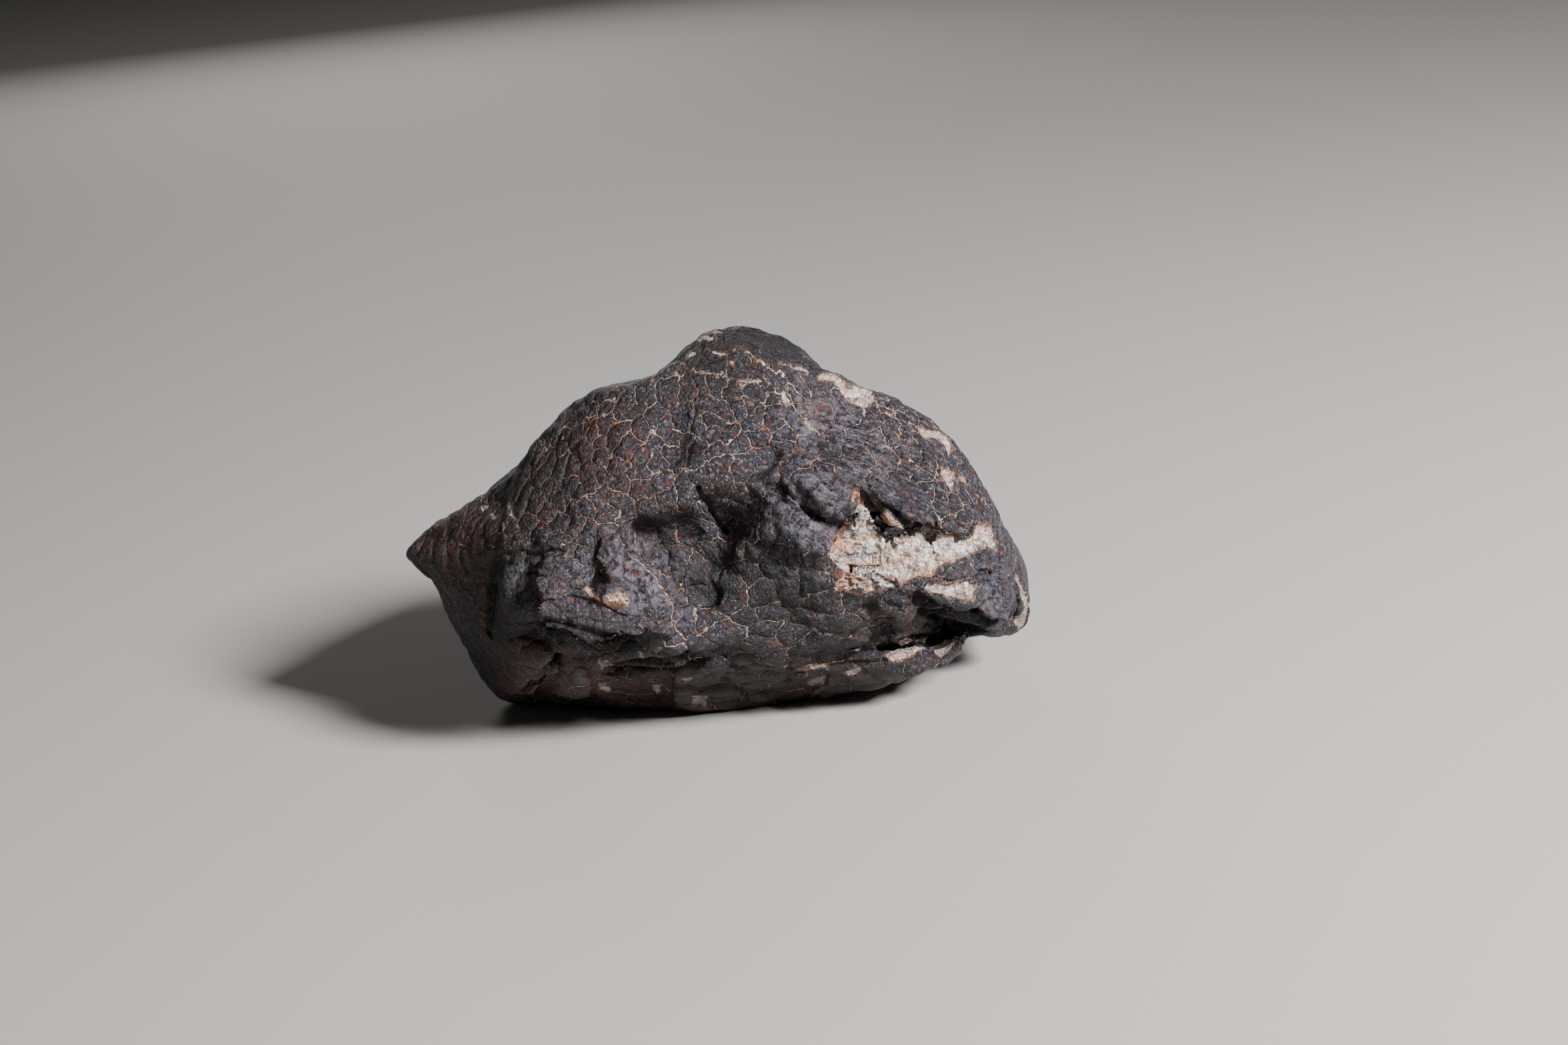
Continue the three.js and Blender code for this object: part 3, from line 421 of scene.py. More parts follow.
# Breaks: the crust has come away inside each outline (on the sheet, mm) down to the depth.
BREAKS = [
    dict(depth=0.55, outline=[
        (8.6, 2), (7.7, 0.7), (7.1, 0.3), (6.7, -0.6), (6.2, -1.3), (5.4, -2.9), (5.3, -4),
        (6.6, -5.2), (6.6, -6), (6, -6.7), (5.9, -7.2), (7.1, -7.5), (8.4, -7.4), (9.6, -7.8),
        (11.2, -7.5), (12.5, -7.2), (13.5, -6.9), (14.2, -6.3), (15.3, -6.1), (16.6, -6),
        (17.2, -4.9), (17.9, -4.4), (19.2, -4.2), (20.2, -3.8), (21.2, -3.4), (22.7, -2.6),
        (23.5, -3.3), (24, -2.9), (23.8, -1.9), (23, -0.6), (22.5, -0.1), (21.5, -0.3),
        (21.3, -1.6), (20.2, -1.9), (18.9, -1.3), (17.9, -1.6), (16.9, -1.6), (16.4, 0.3),
        (15.8, 0.6), (15.7, -0.9), (14.5, -1), (13.2, -1.3), (11.9, -1), (10.9, -0.1),
        (10.5, 0.9), (10.1, 1.5), (9.2, 2),
    ]),
    dict(depth=0.45, outline=[
        (16.3, -7), (17.9, -6.7), (19.7, -6.5), (21.5, -6.6), (21.6, -7), (21.2, -7.8),
        (21.2, -8.8), (19.7, -8.6), (17.9, -8.1), (16.3, -7.9), (16, -7.5),
    ]),
    dict(depth=0.12, outline=[
        (10.6, 1.6), (11.6, 1.3), (12.8, 0.3), (13.9, -0.9), (12.6, -1.3), (11.3, -1),
        (10.7, 0.1),
    ]),
    dict(depth=0.15, outline=[(7.7, 3.6), (8.3, 3.8), (9.2, 2.4), (8.2, 2), (7.5, 2.6)]),
    dict(depth=0.25, outline=[
        (17.4, 6), (18.3, 6.1), (18.9, 5.6), (19, 4.3), (18.6, 3.7), (18.1, 4.5), (17.4, 5.4),
    ]),
    dict(depth=0.15, outline=[(19.5, 5.4), (20.2, 5.2), (20.6, 4), (19.9, 4.7)]),
    dict(depth=0.2, outline=[
        (15.1, 10.7), (16.6, 10.5), (18.3, 10), (18.9, 7.9), (18.6, 7.4), (17.6, 9.5), (16, 9.5),
        (15.3, 10),
    ]),
    dict(depth=0.2, outline=[
        (3.9, 16.7), (5.6, 16.7), (7, 15.6), (8.8, 15.1), (10.2, 14.2), (9.5, 13.1), (8.1, 13.1),
        (6.9, 13.6), (6.3, 14.9), (5.6, 15.8), (4, 16.1),
    ]),
    dict(depth=0.08, outline=[(-8.4, 21.8), (-7.7, 21.6), (-6.8, 21.3), (-7.9, 21.2)]),
    dict(depth=0.1, outline=[(-0.4, 14), (0.4, 13.7), (0.6, 13.1), (-0.1, 13.3)]),
    dict(depth=0.1, outline=[(2.8, 11.3), (3.5, 10.9), (3.6, 10.1), (2.8, 10.5)]),
    dict(depth=0.12, outline=[
        (-30.8, 2.3), (-30.1, 2.4), (-29.7, 1.8), (-29.8, 0.7), (-30.3, 0.3), (-30.7, 0.9),
    ]),
    dict(depth=0.1, outline=[(-33, 1), (-32.3, 1), (-32.3, 0.3), (-32.9, 0.3)]),
    dict(depth=0.1, outline=[(-33.9, 2), (-33.1, 2), (-33.1, 1.3), (-33.8, 1.3)]),
    dict(depth=0.1, outline=[(-31.6, 0.1), (-31.1, -0.3), (-31.2, -1.4), (-31.5, -1.2)]),
    dict(depth=0.25, outline=[
        (-22.6, -7.2), (-22.1, -7.2), (-21.3, -7.9), (-21.2, -8.5), (-22.1, -8.1),
    ]),
    dict(depth=0.25, outline=[
        (-20.1, -8.1), (-18.7, -8.1), (-17.7, -8.3), (-17.4, -9), (-17.4, -9.9), (-18.3, -9.5),
        (-19.5, -9.1),
    ]),
    dict(depth=0.1, outline=[(-14.8, -14), (-13.6, -13.9), (-13.6, -14.6), (-14.6, -14.6)]),
    dict(depth=0.1, outline=[(-16.3, -14.4), (-15.6, -14.5), (-15.7, -15.2), (-16.2, -15.1)]),
    dict(depth=0.1, outline=[
        (-20.8, -15.4), (-19.7, -15.4), (-18.7, -16.1), (-19.1, -17.1), (-20.6, -16.7),
    ]),
    dict(depth=0.1, outline=[(-20.8, -18), (-19.3, -18.2), (-19.5, -19.1), (-20.7, -18.8)]),
    dict(depth=0.1, outline=[(-14.8, -18.1), (-13.9, -18.3), (-13.9, -19.3), (-14.6, -19.1)]),
    dict(depth=0.1, outline=[(-11.8, -17.4), (-10.1, -17.4), (-10.1, -17.9), (-11.6, -17.9)]),
    dict(depth=0.12, outline=[(-10.4, -19.3), (-8.4, -19.5), (-8.5, -20.6), (-10.1, -20.4)]),
    dict(depth=0.3, outline=[
        (11.1, -15), (12.6, -13.9), (14.1, -13.3), (15.2, -12.8), (16.7, -13), (18.2, -12.9),
        (17.1, -13.7), (15.2, -14.2), (14.2, -15), (12.2, -15.5),
    ]),
    dict(depth=0.12, outline=[
        (2.5, -18.2), (3.4, -17.6), (4.8, -17.2), (4.6, -17.9), (2.9, -18.6),
    ]),
    dict(depth=0.12, outline=[(6.4, -17), (8.1, -16.4), (8.7, -16.7), (7, -17.4)]),
    dict(depth=0.12, outline=[
        (16.7, -14.2), (18.2, -13.7), (19.5, -13.3), (18.9, -14.2), (17.6, -15),
    ]),
    dict(depth=0.12, outline=[
        (25.7, -5.8), (26.3, -6.1), (27, -7.8), (27.6, -9.5), (27.7, -11.3), (27, -12.3),
        (26, -11.8), (25.4, -10.9), (26.3, -10.6), (26.8, -9.2), (26.4, -7.6),
    ]),
    dict(depth=0.14, outline=[
        (-10.88, 18.63), (-10.25, 18.96), (-9.7, 18.9), (-10.04, 18.61), (-10.73, 18.4),
    ]),
    dict(depth=0.14, outline=[
        (-8.5, 19.5), (-7.54, 19.37), (-6.53, 18.93), (-6.57, 18.68), (-7.76, 19.02),
    ]),
    dict(depth=0.14, outline=[(-5.78, 19.43), (-4.87, 19.7), (-4.62, 19.48), (-5.72, 19.19)]),
    dict(depth=0.14, outline=[
        (-3.81, 18.58), (-2.87, 18.27), (-1.93, 17.64), (-2.16, 17.48), (-3.33, 18.03),
    ]),
    dict(depth=0.14, outline=[
        (-0.62, 17.93), (0.67, 17.68), (2.17, 17.28), (2.99, 16.94), (2.73, 16.72), (1.43, 17.11),
        (-0.36, 17.54),
    ]),
    dict(depth=0.14, outline=[
        (-0.27, 14.54), (0.23, 14.54), (0.65, 13.62), (0.35, 13.02), (-0.16, 13.58),
    ]),
    dict(depth=0.14, outline=[
        (-5.4, 15.95), (-4.19, 16.16), (-2.9, 16.07), (-3.41, 15.81), (-5.11, 15.71),
    ]),
    dict(depth=0.14, outline=[
        (2.08, 11.89), (2.78, 11.21), (3.39, 10.32), (2.93, 10.19), (2.32, 11.09),
    ]),
    dict(depth=0.14, outline=[(-9.4, 16.83), (-8.5, 16.91), (-8.4, 16.67), (-9.2, 16.59)]),
    dict(depth=0.14, outline=[(-6.23, 18.13), (-5.84, 18.13), (-5.66, 17.47), (-6.07, 17.56)]),
    dict(depth=0.14, outline=[
        (-9.7, 20.6), (-8.7, 21), (-7.6, 21), (-7.8, 20.7), (-8.8, 20.5), (-9.5, 20.2),
    ]),
    dict(depth=0.15, outline=[
        (1.4, -16.7), (2.9, -16.1), (4.8, -15.8), (4.6, -16.2), (2.9, -16.7), (1.6, -17),
    ]),
    dict(depth=0.12, outline=[
        (1.8, -16.6), (2.9, -16.2), (5, -15.9), (5.2, -16.3), (3.4, -16.8), (2, -17),
    ]),
]

# Veins: cracks that pale salts have filled, drawn on the sheet, each after its share of a
# vein's usual width.
VEINS = [
    (0.8, [(-5.7, -14.5), (-4.3, -14.6), (-3.1, -14.8), (-1.2, -14.8), (0.1, -14.6)]),
    (1.2, [(0.3, -14.2), (0.4, -15.4), (0.6, -16.3)]),
    (0.8, [(16.9, 0.7), (18.3, 1), (19.7, 1.2), (20.6, 1.4)]),
    (0.8, [(13.7, 7), (15.6, 6.3), (16.7, 5.1), (16.9, 3.3), (16.4, 1.4)]),
    # upper middle
    (1.3, [(-6.8, 7.8), (-5.7, 9.2), (-5.2, 10.1), (-4.3, 10.2), (-3.4, 10.3), (-2.4, 10.7)]),
    (1.0, [(-5.2, 10.1), (-5.4, 10.7), (-5.6, 12.4), (-6.1, 13.1), (-5.9, 13.8), (-5.4, 14.3),
        (-5.1, 15.1), (-4.7, 15.4), (-3.8, 15.8)]),
    (1.2, [(-6.8, 7.8), (-7.7, 8), (-8.6, 8.9), (-9.1, 9.8), (-9.5, 10.1), (-10.4, 10.1),
        (-11.6, 10.4), (-12.5, 10.3)]),
    (1.5, [(-6.8, 7.8), (-7.5, 7.6), (-8.5, 6.7), (-9.5, 6.1), (-10.4, 6.1), (-11.3, 5.5),
        (-11.8, 5.1)]),
    (0.9, [(-10, 5.9), (-10.1, 4.3), (-9.5, 2.5), (-8.6, 1)]),
    (0.9, [(-11.8, 4.8), (-11.9, 1.8)]),
    (0.9, [(-6.8, 7.8), (-5.6, 7.5), (-4.8, 7.3), (-4.1, 8)]),
    (1.0, [(-16.6, 14.9), (-16.3, 13.7), (-16.4, 13), (-15.8, 11.9), (-15.4, 10.7),
        (-15.1, 10.1), (-14.2, 9.8), (-13.3, 9.8)]),
    (0.8, [(-16.4, 13), (-17.8, 12.4), (-18.9, 11.9), (-19.7, 11.3), (-20.4, 10.4),
        (-20.8, 9.4), (-21.2, 8.9)]),
    (1.6, [(-17.6, 9.9), (-18.3, 9.5), (-18.7, 8.4), (-19, 7.8), (-19.7, 7), (-20.3, 6)]),
    (0.9, [(-17.6, 9.9), (-18.1, 10.7), (-18.7, 11.5), (-19.3, 12.2)]),
    (1.0, [(-17.6, 9.9), (-16.5, 9.5), (-15.7, 9.2), (-15.9, 8.4)]),
    (1.0, [(-19, 7.8), (-18.5, 7.2), (-17.6, 6.9), (-16.9, 7.2), (-16.4, 7.5), (-15.7, 7.2)]),
    (1.1, [(-26.2, 5.1), (-25.4, 4.8), (-24.7, 4.6), (-24.2, 5.1), (-23.6, 5.1), (-23.1, 5.7),
        (-22.1, 6.1), (-21.2, 5.9), (-20.3, 6), (-20.4, 5.1), (-20.7, 4.5)]),
    (1.0, [(-24.7, 4.6), (-24.5, 3.7), (-24.2, 3.1), (-23.4, 2.5), (-24.7, 2), (-25.4, 1.2),
        (-26.2, 0.2)]),
    (1.3, [(-23.4, 2.5), (-22.1, 2.9), (-21.5, 3.3), (-20.8, 3.8), (-19.8, 4.1), (-18.7, 4),
        (-18.2, 3.3), (-17.9, 2.7), (-18.2, 1.8), (-18.5, 1), (-18.9, -0.1)]),
    (1.0, [(-18.7, 4), (-18, 4.6), (-17.9, 5.2), (-16.9, 4.8), (-16.3, 4), (-16, 5.1),
        (-15.4, 5.7), (-14.2, 5.7), (-13.1, 6)]),
    (0.9, [(-11.8, 15.6), (-11.9, 14.5), (-11.8, 13.3), (-11.9, 12.2), (-11.9, 10.7)]),
    (0.9, [(-14.2, 15.4), (-13.1, 15.7), (-12.4, 16), (-11.8, 16.6), (-10.5, 16.7),
        (-9.4, 17.1), (-8.7, 16.9), (-7.9, 16.6), (-7.1, 16.7), (-6.4, 17.3), (-5.7, 17.7),
        (-4.9, 17.7), (-4.2, 17.6)]),
    (0.8, [(-6.8, 14.5), (-6.6, 15.6), (-6.1, 16), (-5.4, 15.8)]),
    (1.0, [(-8.2, 12.7), (-7.5, 12.9), (-6.8, 13.1), (-6.1, 13.1)]),
    (0.8, [(-5.6, 12.5), (-4.5, 12.5), (-4, 11.9), (-3.1, 11.9), (-2.1, 12.1)]),
    (0.8, [(-10.3, 13.5), (-9.8, 14.3), (-9.4, 15), (-8.5, 15.4), (-8.1, 15.5)]),
    (0.7, [(-11.8, 13.2), (-10.9, 13.4), (-10.3, 13.5)]),
    (0.7, [(-10, 13), (-9.4, 12.2), (-8.7, 10.7), (-9, 10.1)]),
    (0.9, [(-28.8, 9.2), (-28.6, 7.6)]),
    (1.0, [(-27.8, 9.4), (-26.5, 9.6), (-26.2, 9.5), (-26.7, 8.4), (-26.9, 7.6)]),
    (0.9, [(-26.2, 9.5), (-25.2, 10.2), (-24.3, 10.4), (-22.8, 11), (-22.1, 11.6),
        (-20.8, 12.4), (-19.8, 12.1)]),
    (0.8, [(-22.1, 11.6), (-21.3, 11.8), (-20.2, 12.5), (-19.7, 13.2)]),
    (0.7, [(-26.7, 8.4), (-27.1, 7)]),
    # knobbly peak
    (1.05, [(-3.7, 18.8), (-3.1, 18.4), (-2.3, 17.8), (-1.2, 17.3), (-0.3, 16.6)]),
    (0.68, [(-5.7, 17.7), (-4.5, 17.2), (-3.8, 16.7), (-3.5, 16)]),
    (0.6, [(-12.4, 17), (-11.6, 17.8), (-11, 17.8)]),
    # upper right
    (1.5, [(-3.8, 15.8), (-3.1, 16), (-1.9, 15.8), (-0.8, 14.8), (-0.3, 14), (0.7, 13.5),
        (1.8, 12.1), (2.7, 11.3), (3.4, 10.3)]),
    (0.9, [(-0.3, 16.3), (0.3, 15.6), (1.4, 14.5), (2.5, 13.7)]),
    (0.8, [(8.7, 12.8), (8.5, 11.6), (8.1, 10.8), (7, 10.5)]),
    (0.8, [(-0.6, 9.2), (0.4, 9), (1.3, 8.9), (2.2, 8.4)]),
    (0.7, [(3.1, 9.9), (4.2, 9.8), (5.6, 8.5), (7.8, 8.1)]),
    (0.8, [(12.8, 11), (12.9, 9.2), (12.5, 8.1), (12.2, 6.9)]),
    (1.2, [(10.6, 13.1), (11.9, 12.7), (12.8, 12.1), (13.9, 11.7), (15.1, 10.7)]),
    (0.7, [(4.8, 13.7), (5.7, 12.2), (5.6, 10.7), (5.1, 9.8)]),
    (0.7, [(8.7, 12.8), (9.6, 11.9), (10.1, 10.4), (9.7, 9.2)]),
    (0.6, [(15.2, 9.2), (14.6, 7.6), (15.1, 6.3), (16.6, 5.4)]),
    (0.6, [(9.7, 9.2), (11.1, 8.7), (12.5, 8.1)]),
    (0.6, [(4, 7), (5.5, 6.1), (6.6, 6.3), (7.9, 5.4)]),
    (0.7, [(-1.9, 12.1), (-0.4, 11.6), (1, 10.7), (2.7, 10.4)]),
    (0.6, [(0.3, 7), (2.5, 7.5), (4.4, 7)]),
    (0.7, [(-5.1, 5.2), (-4.8, 6.9), (-4.3, 7.5)]),
    # middle right
    (1.0, [(-0.4, 5.8), (-0.3, 4.5), (-0.4, 2.8), (-1.7, 2.5), (-3, 2.2), (-3.7, 2.2)]),
    (0.8, [(-3, 2.2), (-3.1, 1), (-3, -0.1)]),
    (1.2, [(0.1, 2.4), (1.6, 1.7), (3.2, 1.1), (4.3, 0.7), (5, -0.3), (6, -1.1)]),
    (1.3, [(-7.1, -1.6), (-6.6, -2.1), (-4.8, -1.9), (-3.2, -2.2), (-1.7, -2.5), (-0.4, -2.6),
        (0.9, -2.6), (1.9, -3.5), (3.4, -3.4), (5, -3.7), (6, -4)]),
    (0.8, [(-3.1, -2.2), (-3, -3.7), (-3.2, -4.9), (-2.5, -6)]),
    (0.8, [(-9.4, -2.4), (-8.1, -2.1), (-7.1, -2)]),
    (1.1, [(-9.4, -9.5), (-8.3, -9.3), (-7.3, -9.5), (-6.6, -10.6), (-5.5, -11.6),
        (-4.3, -11.3), (-3, -11.1)]),
    (0.9, [(-3, -11.1), (-4, -9.8), (-4.6, -9), (-4.6, -7.8), (-3.5, -7.4), (-2.2, -7.2),
        (-1.6, -6.3), (-2.5, -6), (-4.3, -6.1)]),
    (1.0, [(-3, -11.1), (-1.9, -10.9), (-0.4, -11), (0.9, -11.1), (1.9, -11.5), (3.2, -11.9),
        (4.3, -12.5), (6, -12.7), (7.3, -12.4), (8.7, -12.4)]),
    (0.8, [(-5.5, -11.6), (-5.4, -12.7), (-4.3, -13.3), (-2.7, -13.4), (-1.2, -13.7),
        (-0.1, -13.8), (0.6, -13.3), (0.6, -12), (0.9, -11.1)]),
    (0.9, [(0.6, -13.3), (1.9, -13.2), (3.4, -12.4), (4.3, -12.5)]),
    (1.1, [(-5, -14.7), (-3.2, -15), (-0.9, -14.8), (0.4, -14.7), (0.4, -13.9)]),
    (1.0, [(0.4, -14.7), (0.4, -15.7), (0.6, -16.6)]),
    (0.8, [(3.4, -8.1), (3.2, -9.1), (3.2, -10.6), (3, -11.6)]),
    (0.9, [(3.2, -8.3), (4.5, -7.8), (6, -7.4)]),
    (0.7, [(1.4, -16.3), (3, -16), (4.8, -16.1), (6.4, -15.4)]),
    (0.7, [(-2.2, -7.2), (-0.8, -7.9), (0.7, -8.1), (2.2, -7.9), (3.2, -8.3)]),
    (0.6, [(6, -1.1), (5.7, -2.7), (5, -3.7)]),
    (0.9, [(19.9, 2.2), (20.6, 2.1), (21.4, 2.2)]),
    (0.8, [(19.2, 1), (19.7, 2), (21, 2.2)]),
    (0.8, [(21, 1), (21.3, -0.8)]),
    (0.6, [(9.2, -7.5), (10.7, -9), (12.6, -9.5)]),
    (0.8, [(-8.7, -9.6), (-7.4, -9.4), (-6.9, -8.4), (-6.4, -7.8)]),
    (0.9, [(0.4, -15.9), (-1.9, -16.9), (-4.2, -17)]),
    # tongue and block
    (1.9, [(-19.1, -1.2), (-18.3, -1.9), (-17.6, -2.7), (-16.6, -4), (-15.1, -5.4),
        (-13.9, -6.9), (-12.9, -8.4), (-12.2, -9.9), (-12.2, -11.9), (-11.4, -13.3),
        (-10.4, -15.4)]),
    (1.0, [(-12.2, -9.4), (-11.1, -9.2), (-9.4, -9.4), (-8.9, -9.9), (-9.6, -10.9),
        (-10.5, -11.6), (-10.7, -12.6), (-10.7, -14.2)]),
    (0.8, [(-12.9, -7.4), (-11.6, -7.2), (-11.1, -7)]),
    (1.0, [(-7.4, -9.4), (-8.7, -9.6), (-8.9, -9.9)]),
    (0.9, [(-11.1, -5.4), (-10.7, -4), (-9.9, -2.9), (-9.6, -2.3)]),
    (0.7, [(-15.5, -4.7), (-14.8, -4.3), (-14.1, -4)]),
    (1.0, [(-25.1, -2.9), (-24.3, -4), (-22.6, -4.4), (-21.6, -5.1)]),
    (1.2, [(-21.6, -7.4), (-21.6, -6.4), (-21.1, -5.7), (-20.1, -4.9), (-19.5, -4)]),
    (0.9, [(-24.3, -7.4), (-23.3, -7), (-22.6, -6.6), (-22.1, -6.9)]),
    (1.1, [(-25.3, -3.4), (-24.8, -2.7), (-23.8, -2.2), (-23.3, -1.2), (-23, -0.4),
        (-21.3, -0.2), (-20.2, 0.1), (-19.7, 0.4)]),
    (0.8, [(-26.5, 0.3), (-25.3, 1), (-24.5, 1.9)]),
    (0.7, [(-29.3, 1), (-28.3, 0.8), (-27.3, 1.2), (-26.8, 1.3), (-27.1, 2.3)]),
    (1.0, [(-33.6, -2.8), (-32, -2.8), (-30.8, -2.5)]),
    (0.7, [(-34.2, -0.4), (-34.2, 0.7), (-34.5, 1.8)]),
    (1.2, [(-18.6, 0.5), (-18.2, 1.4), (-18, 2.5)]),
    (0.9, [(-12.9, 5.4), (-11.8, 3.7), (-11.5, 2)]),
    # low front
    (0.8, [(-9.5, -15.4), (-7.8, -15), (-6, -15.4), (-5, -14.7)]),
    (0.7, [(-12.2, -19.3), (-10.5, -19.1), (-8.7, -19.5)]),
    (0.8, [(-18.7, -18.7), (-16.9, -18.2), (-15, -18.3)]),
    (0.6, [(-6.8, -16.9), (-5.7, -18.3), (-4.2, -18.7)]),
    # left wing
    (0.7, [(-39.2, -1.6), (-37.6, -1.9), (-36.2, -3.1), (-35.1, -2.8), (-33.6, -2.8)]),
    (0.6, [(-36.2, 0.7), (-35.5, -0.4), (-34.2, -0.4)]),
    (0.7, [(-37, -4.9), (-35.5, -4.5), (-33.9, -4.9)]),
    (0.7, [(-37.4, -7.5), (-36.2, -8.7), (-34.8, -8.3), (-33.9, -7.2)]),
    (0.7, [(-36.2, -10.9), (-35.1, -12), (-33.9, -12.4)]),
    (0.6, [(-32.7, -0.4), (-31.6, -1.2), (-30.3, -1.6)]),
]

# Tints: soft round places on the sheet, (right, above, radius, strength), which the material reads
# from attributes of the same names. The dark tint is painted shade: pit colour laid on places that
# lie in shade. The gloss tint makes the crust smoother and also paints it lighter, a painted sheen.
TINTS = {
    "brown": [
        (-25.8, 6.3, 6, 1), (-28, 0.3, 5, 1), (-36, -1.2, 6, 0.8), (-18, 1.4, 4, 0.9),
        (-8, 18, 5, 1), (4.8, 7, 4, 0.7), (11.5, 8.9, 4, 0.4), (9.2, -10.9, 5, 0.3),
        (-16.8, 13.7, 4, 0.6), (-20, -12, 4, 0.6),
    ],
    # painted shade, where the stone lies in shade
    "dark": [
        (-31.8, -8.7, 3.2, 1), (-31.4, -15.4, 3, 0.8), (-16, -16.9, 5, 0.7), (-12, -21.5, 5, 0.9),
        (-5.7, -20, 6, 1), (3, -20, 6, 0.9), (11, -18.5, 6, 0.8), (18, -16, 5, 0.6),
        (-31, -12, 3, 1), (-16.1, -1.2, 3, 0.6), (-11.6, -3.4, 4, 0.5), (16.7, -10.5, 3, 0.8),
        (-5.7, -4.9, 3, 0.6), (-12.4, 8.5, 2, 0.5), (-1, -8, 6, 0.8), (7, -10, 5, 0.6),
        (-8, 18.5, 4, 1), (-3, 22, 3, 1), (0, 21, 4, 1), (3, 19, 4, 0.9), (-26, 7, 5, 0.6),
        (-34, 0, 6, 0.7), (-30, 4, 5, 0.7), (13, 4.5, 4, 0.35), (18, 2, 4, 0.35), (6, 6, 3, 0.5),
        (24, -6, 4, 0.45), (3, -8, 5, 0.5), (-12, -2, 3.5, 0.5), (-5, 2.5, 3, 0.4),
        (-7, -1, 4, 0.4), (-20, 12, 5, 0.4), (-4, 14, 4, 0.4),
    ],
    # smoother crust, and a painted sheen in its colour
    "gloss": [
        (-15.7, -7.2, 4, 1), (-17.6, -3.1, 2.5, 1), (4, 4, 3.5, 1), (1.8, -1.2, 3.5, 1),
        (22.7, -7.9, 3, 0.7), (-28.8, -7.2, 2.5, 0.7), (4, 12, 4, 0.8), (10, 6, 4, 0.5),
        (-22.5, -5, 2.5, 0.5), (-26.9, -15.4, 1.4, 0.9), (-23.4, -16.6, 1.8, 1),
        (-23.2, -16.9, 2, 0.9), (3, 13.5, 3, 0.8), (2.5, 16, 2, 0.8),
    ],
    # streaks of the melt, in the bump, and in the colour as painted shade and highlight along them
    "streaked": [
        (8, 8, 5, 1), (15, 4, 5, 1), (2, 9, 3.5, 0.6), (12, 12, 5, 0.7), (23, -6, 3.5, 0.6),
    ],
    "rusty": [
        (-36, -2, 3, 0.6), (4, 13, 1.5, 0.3), (-20, 8, 3, 0.3),
    ],
}
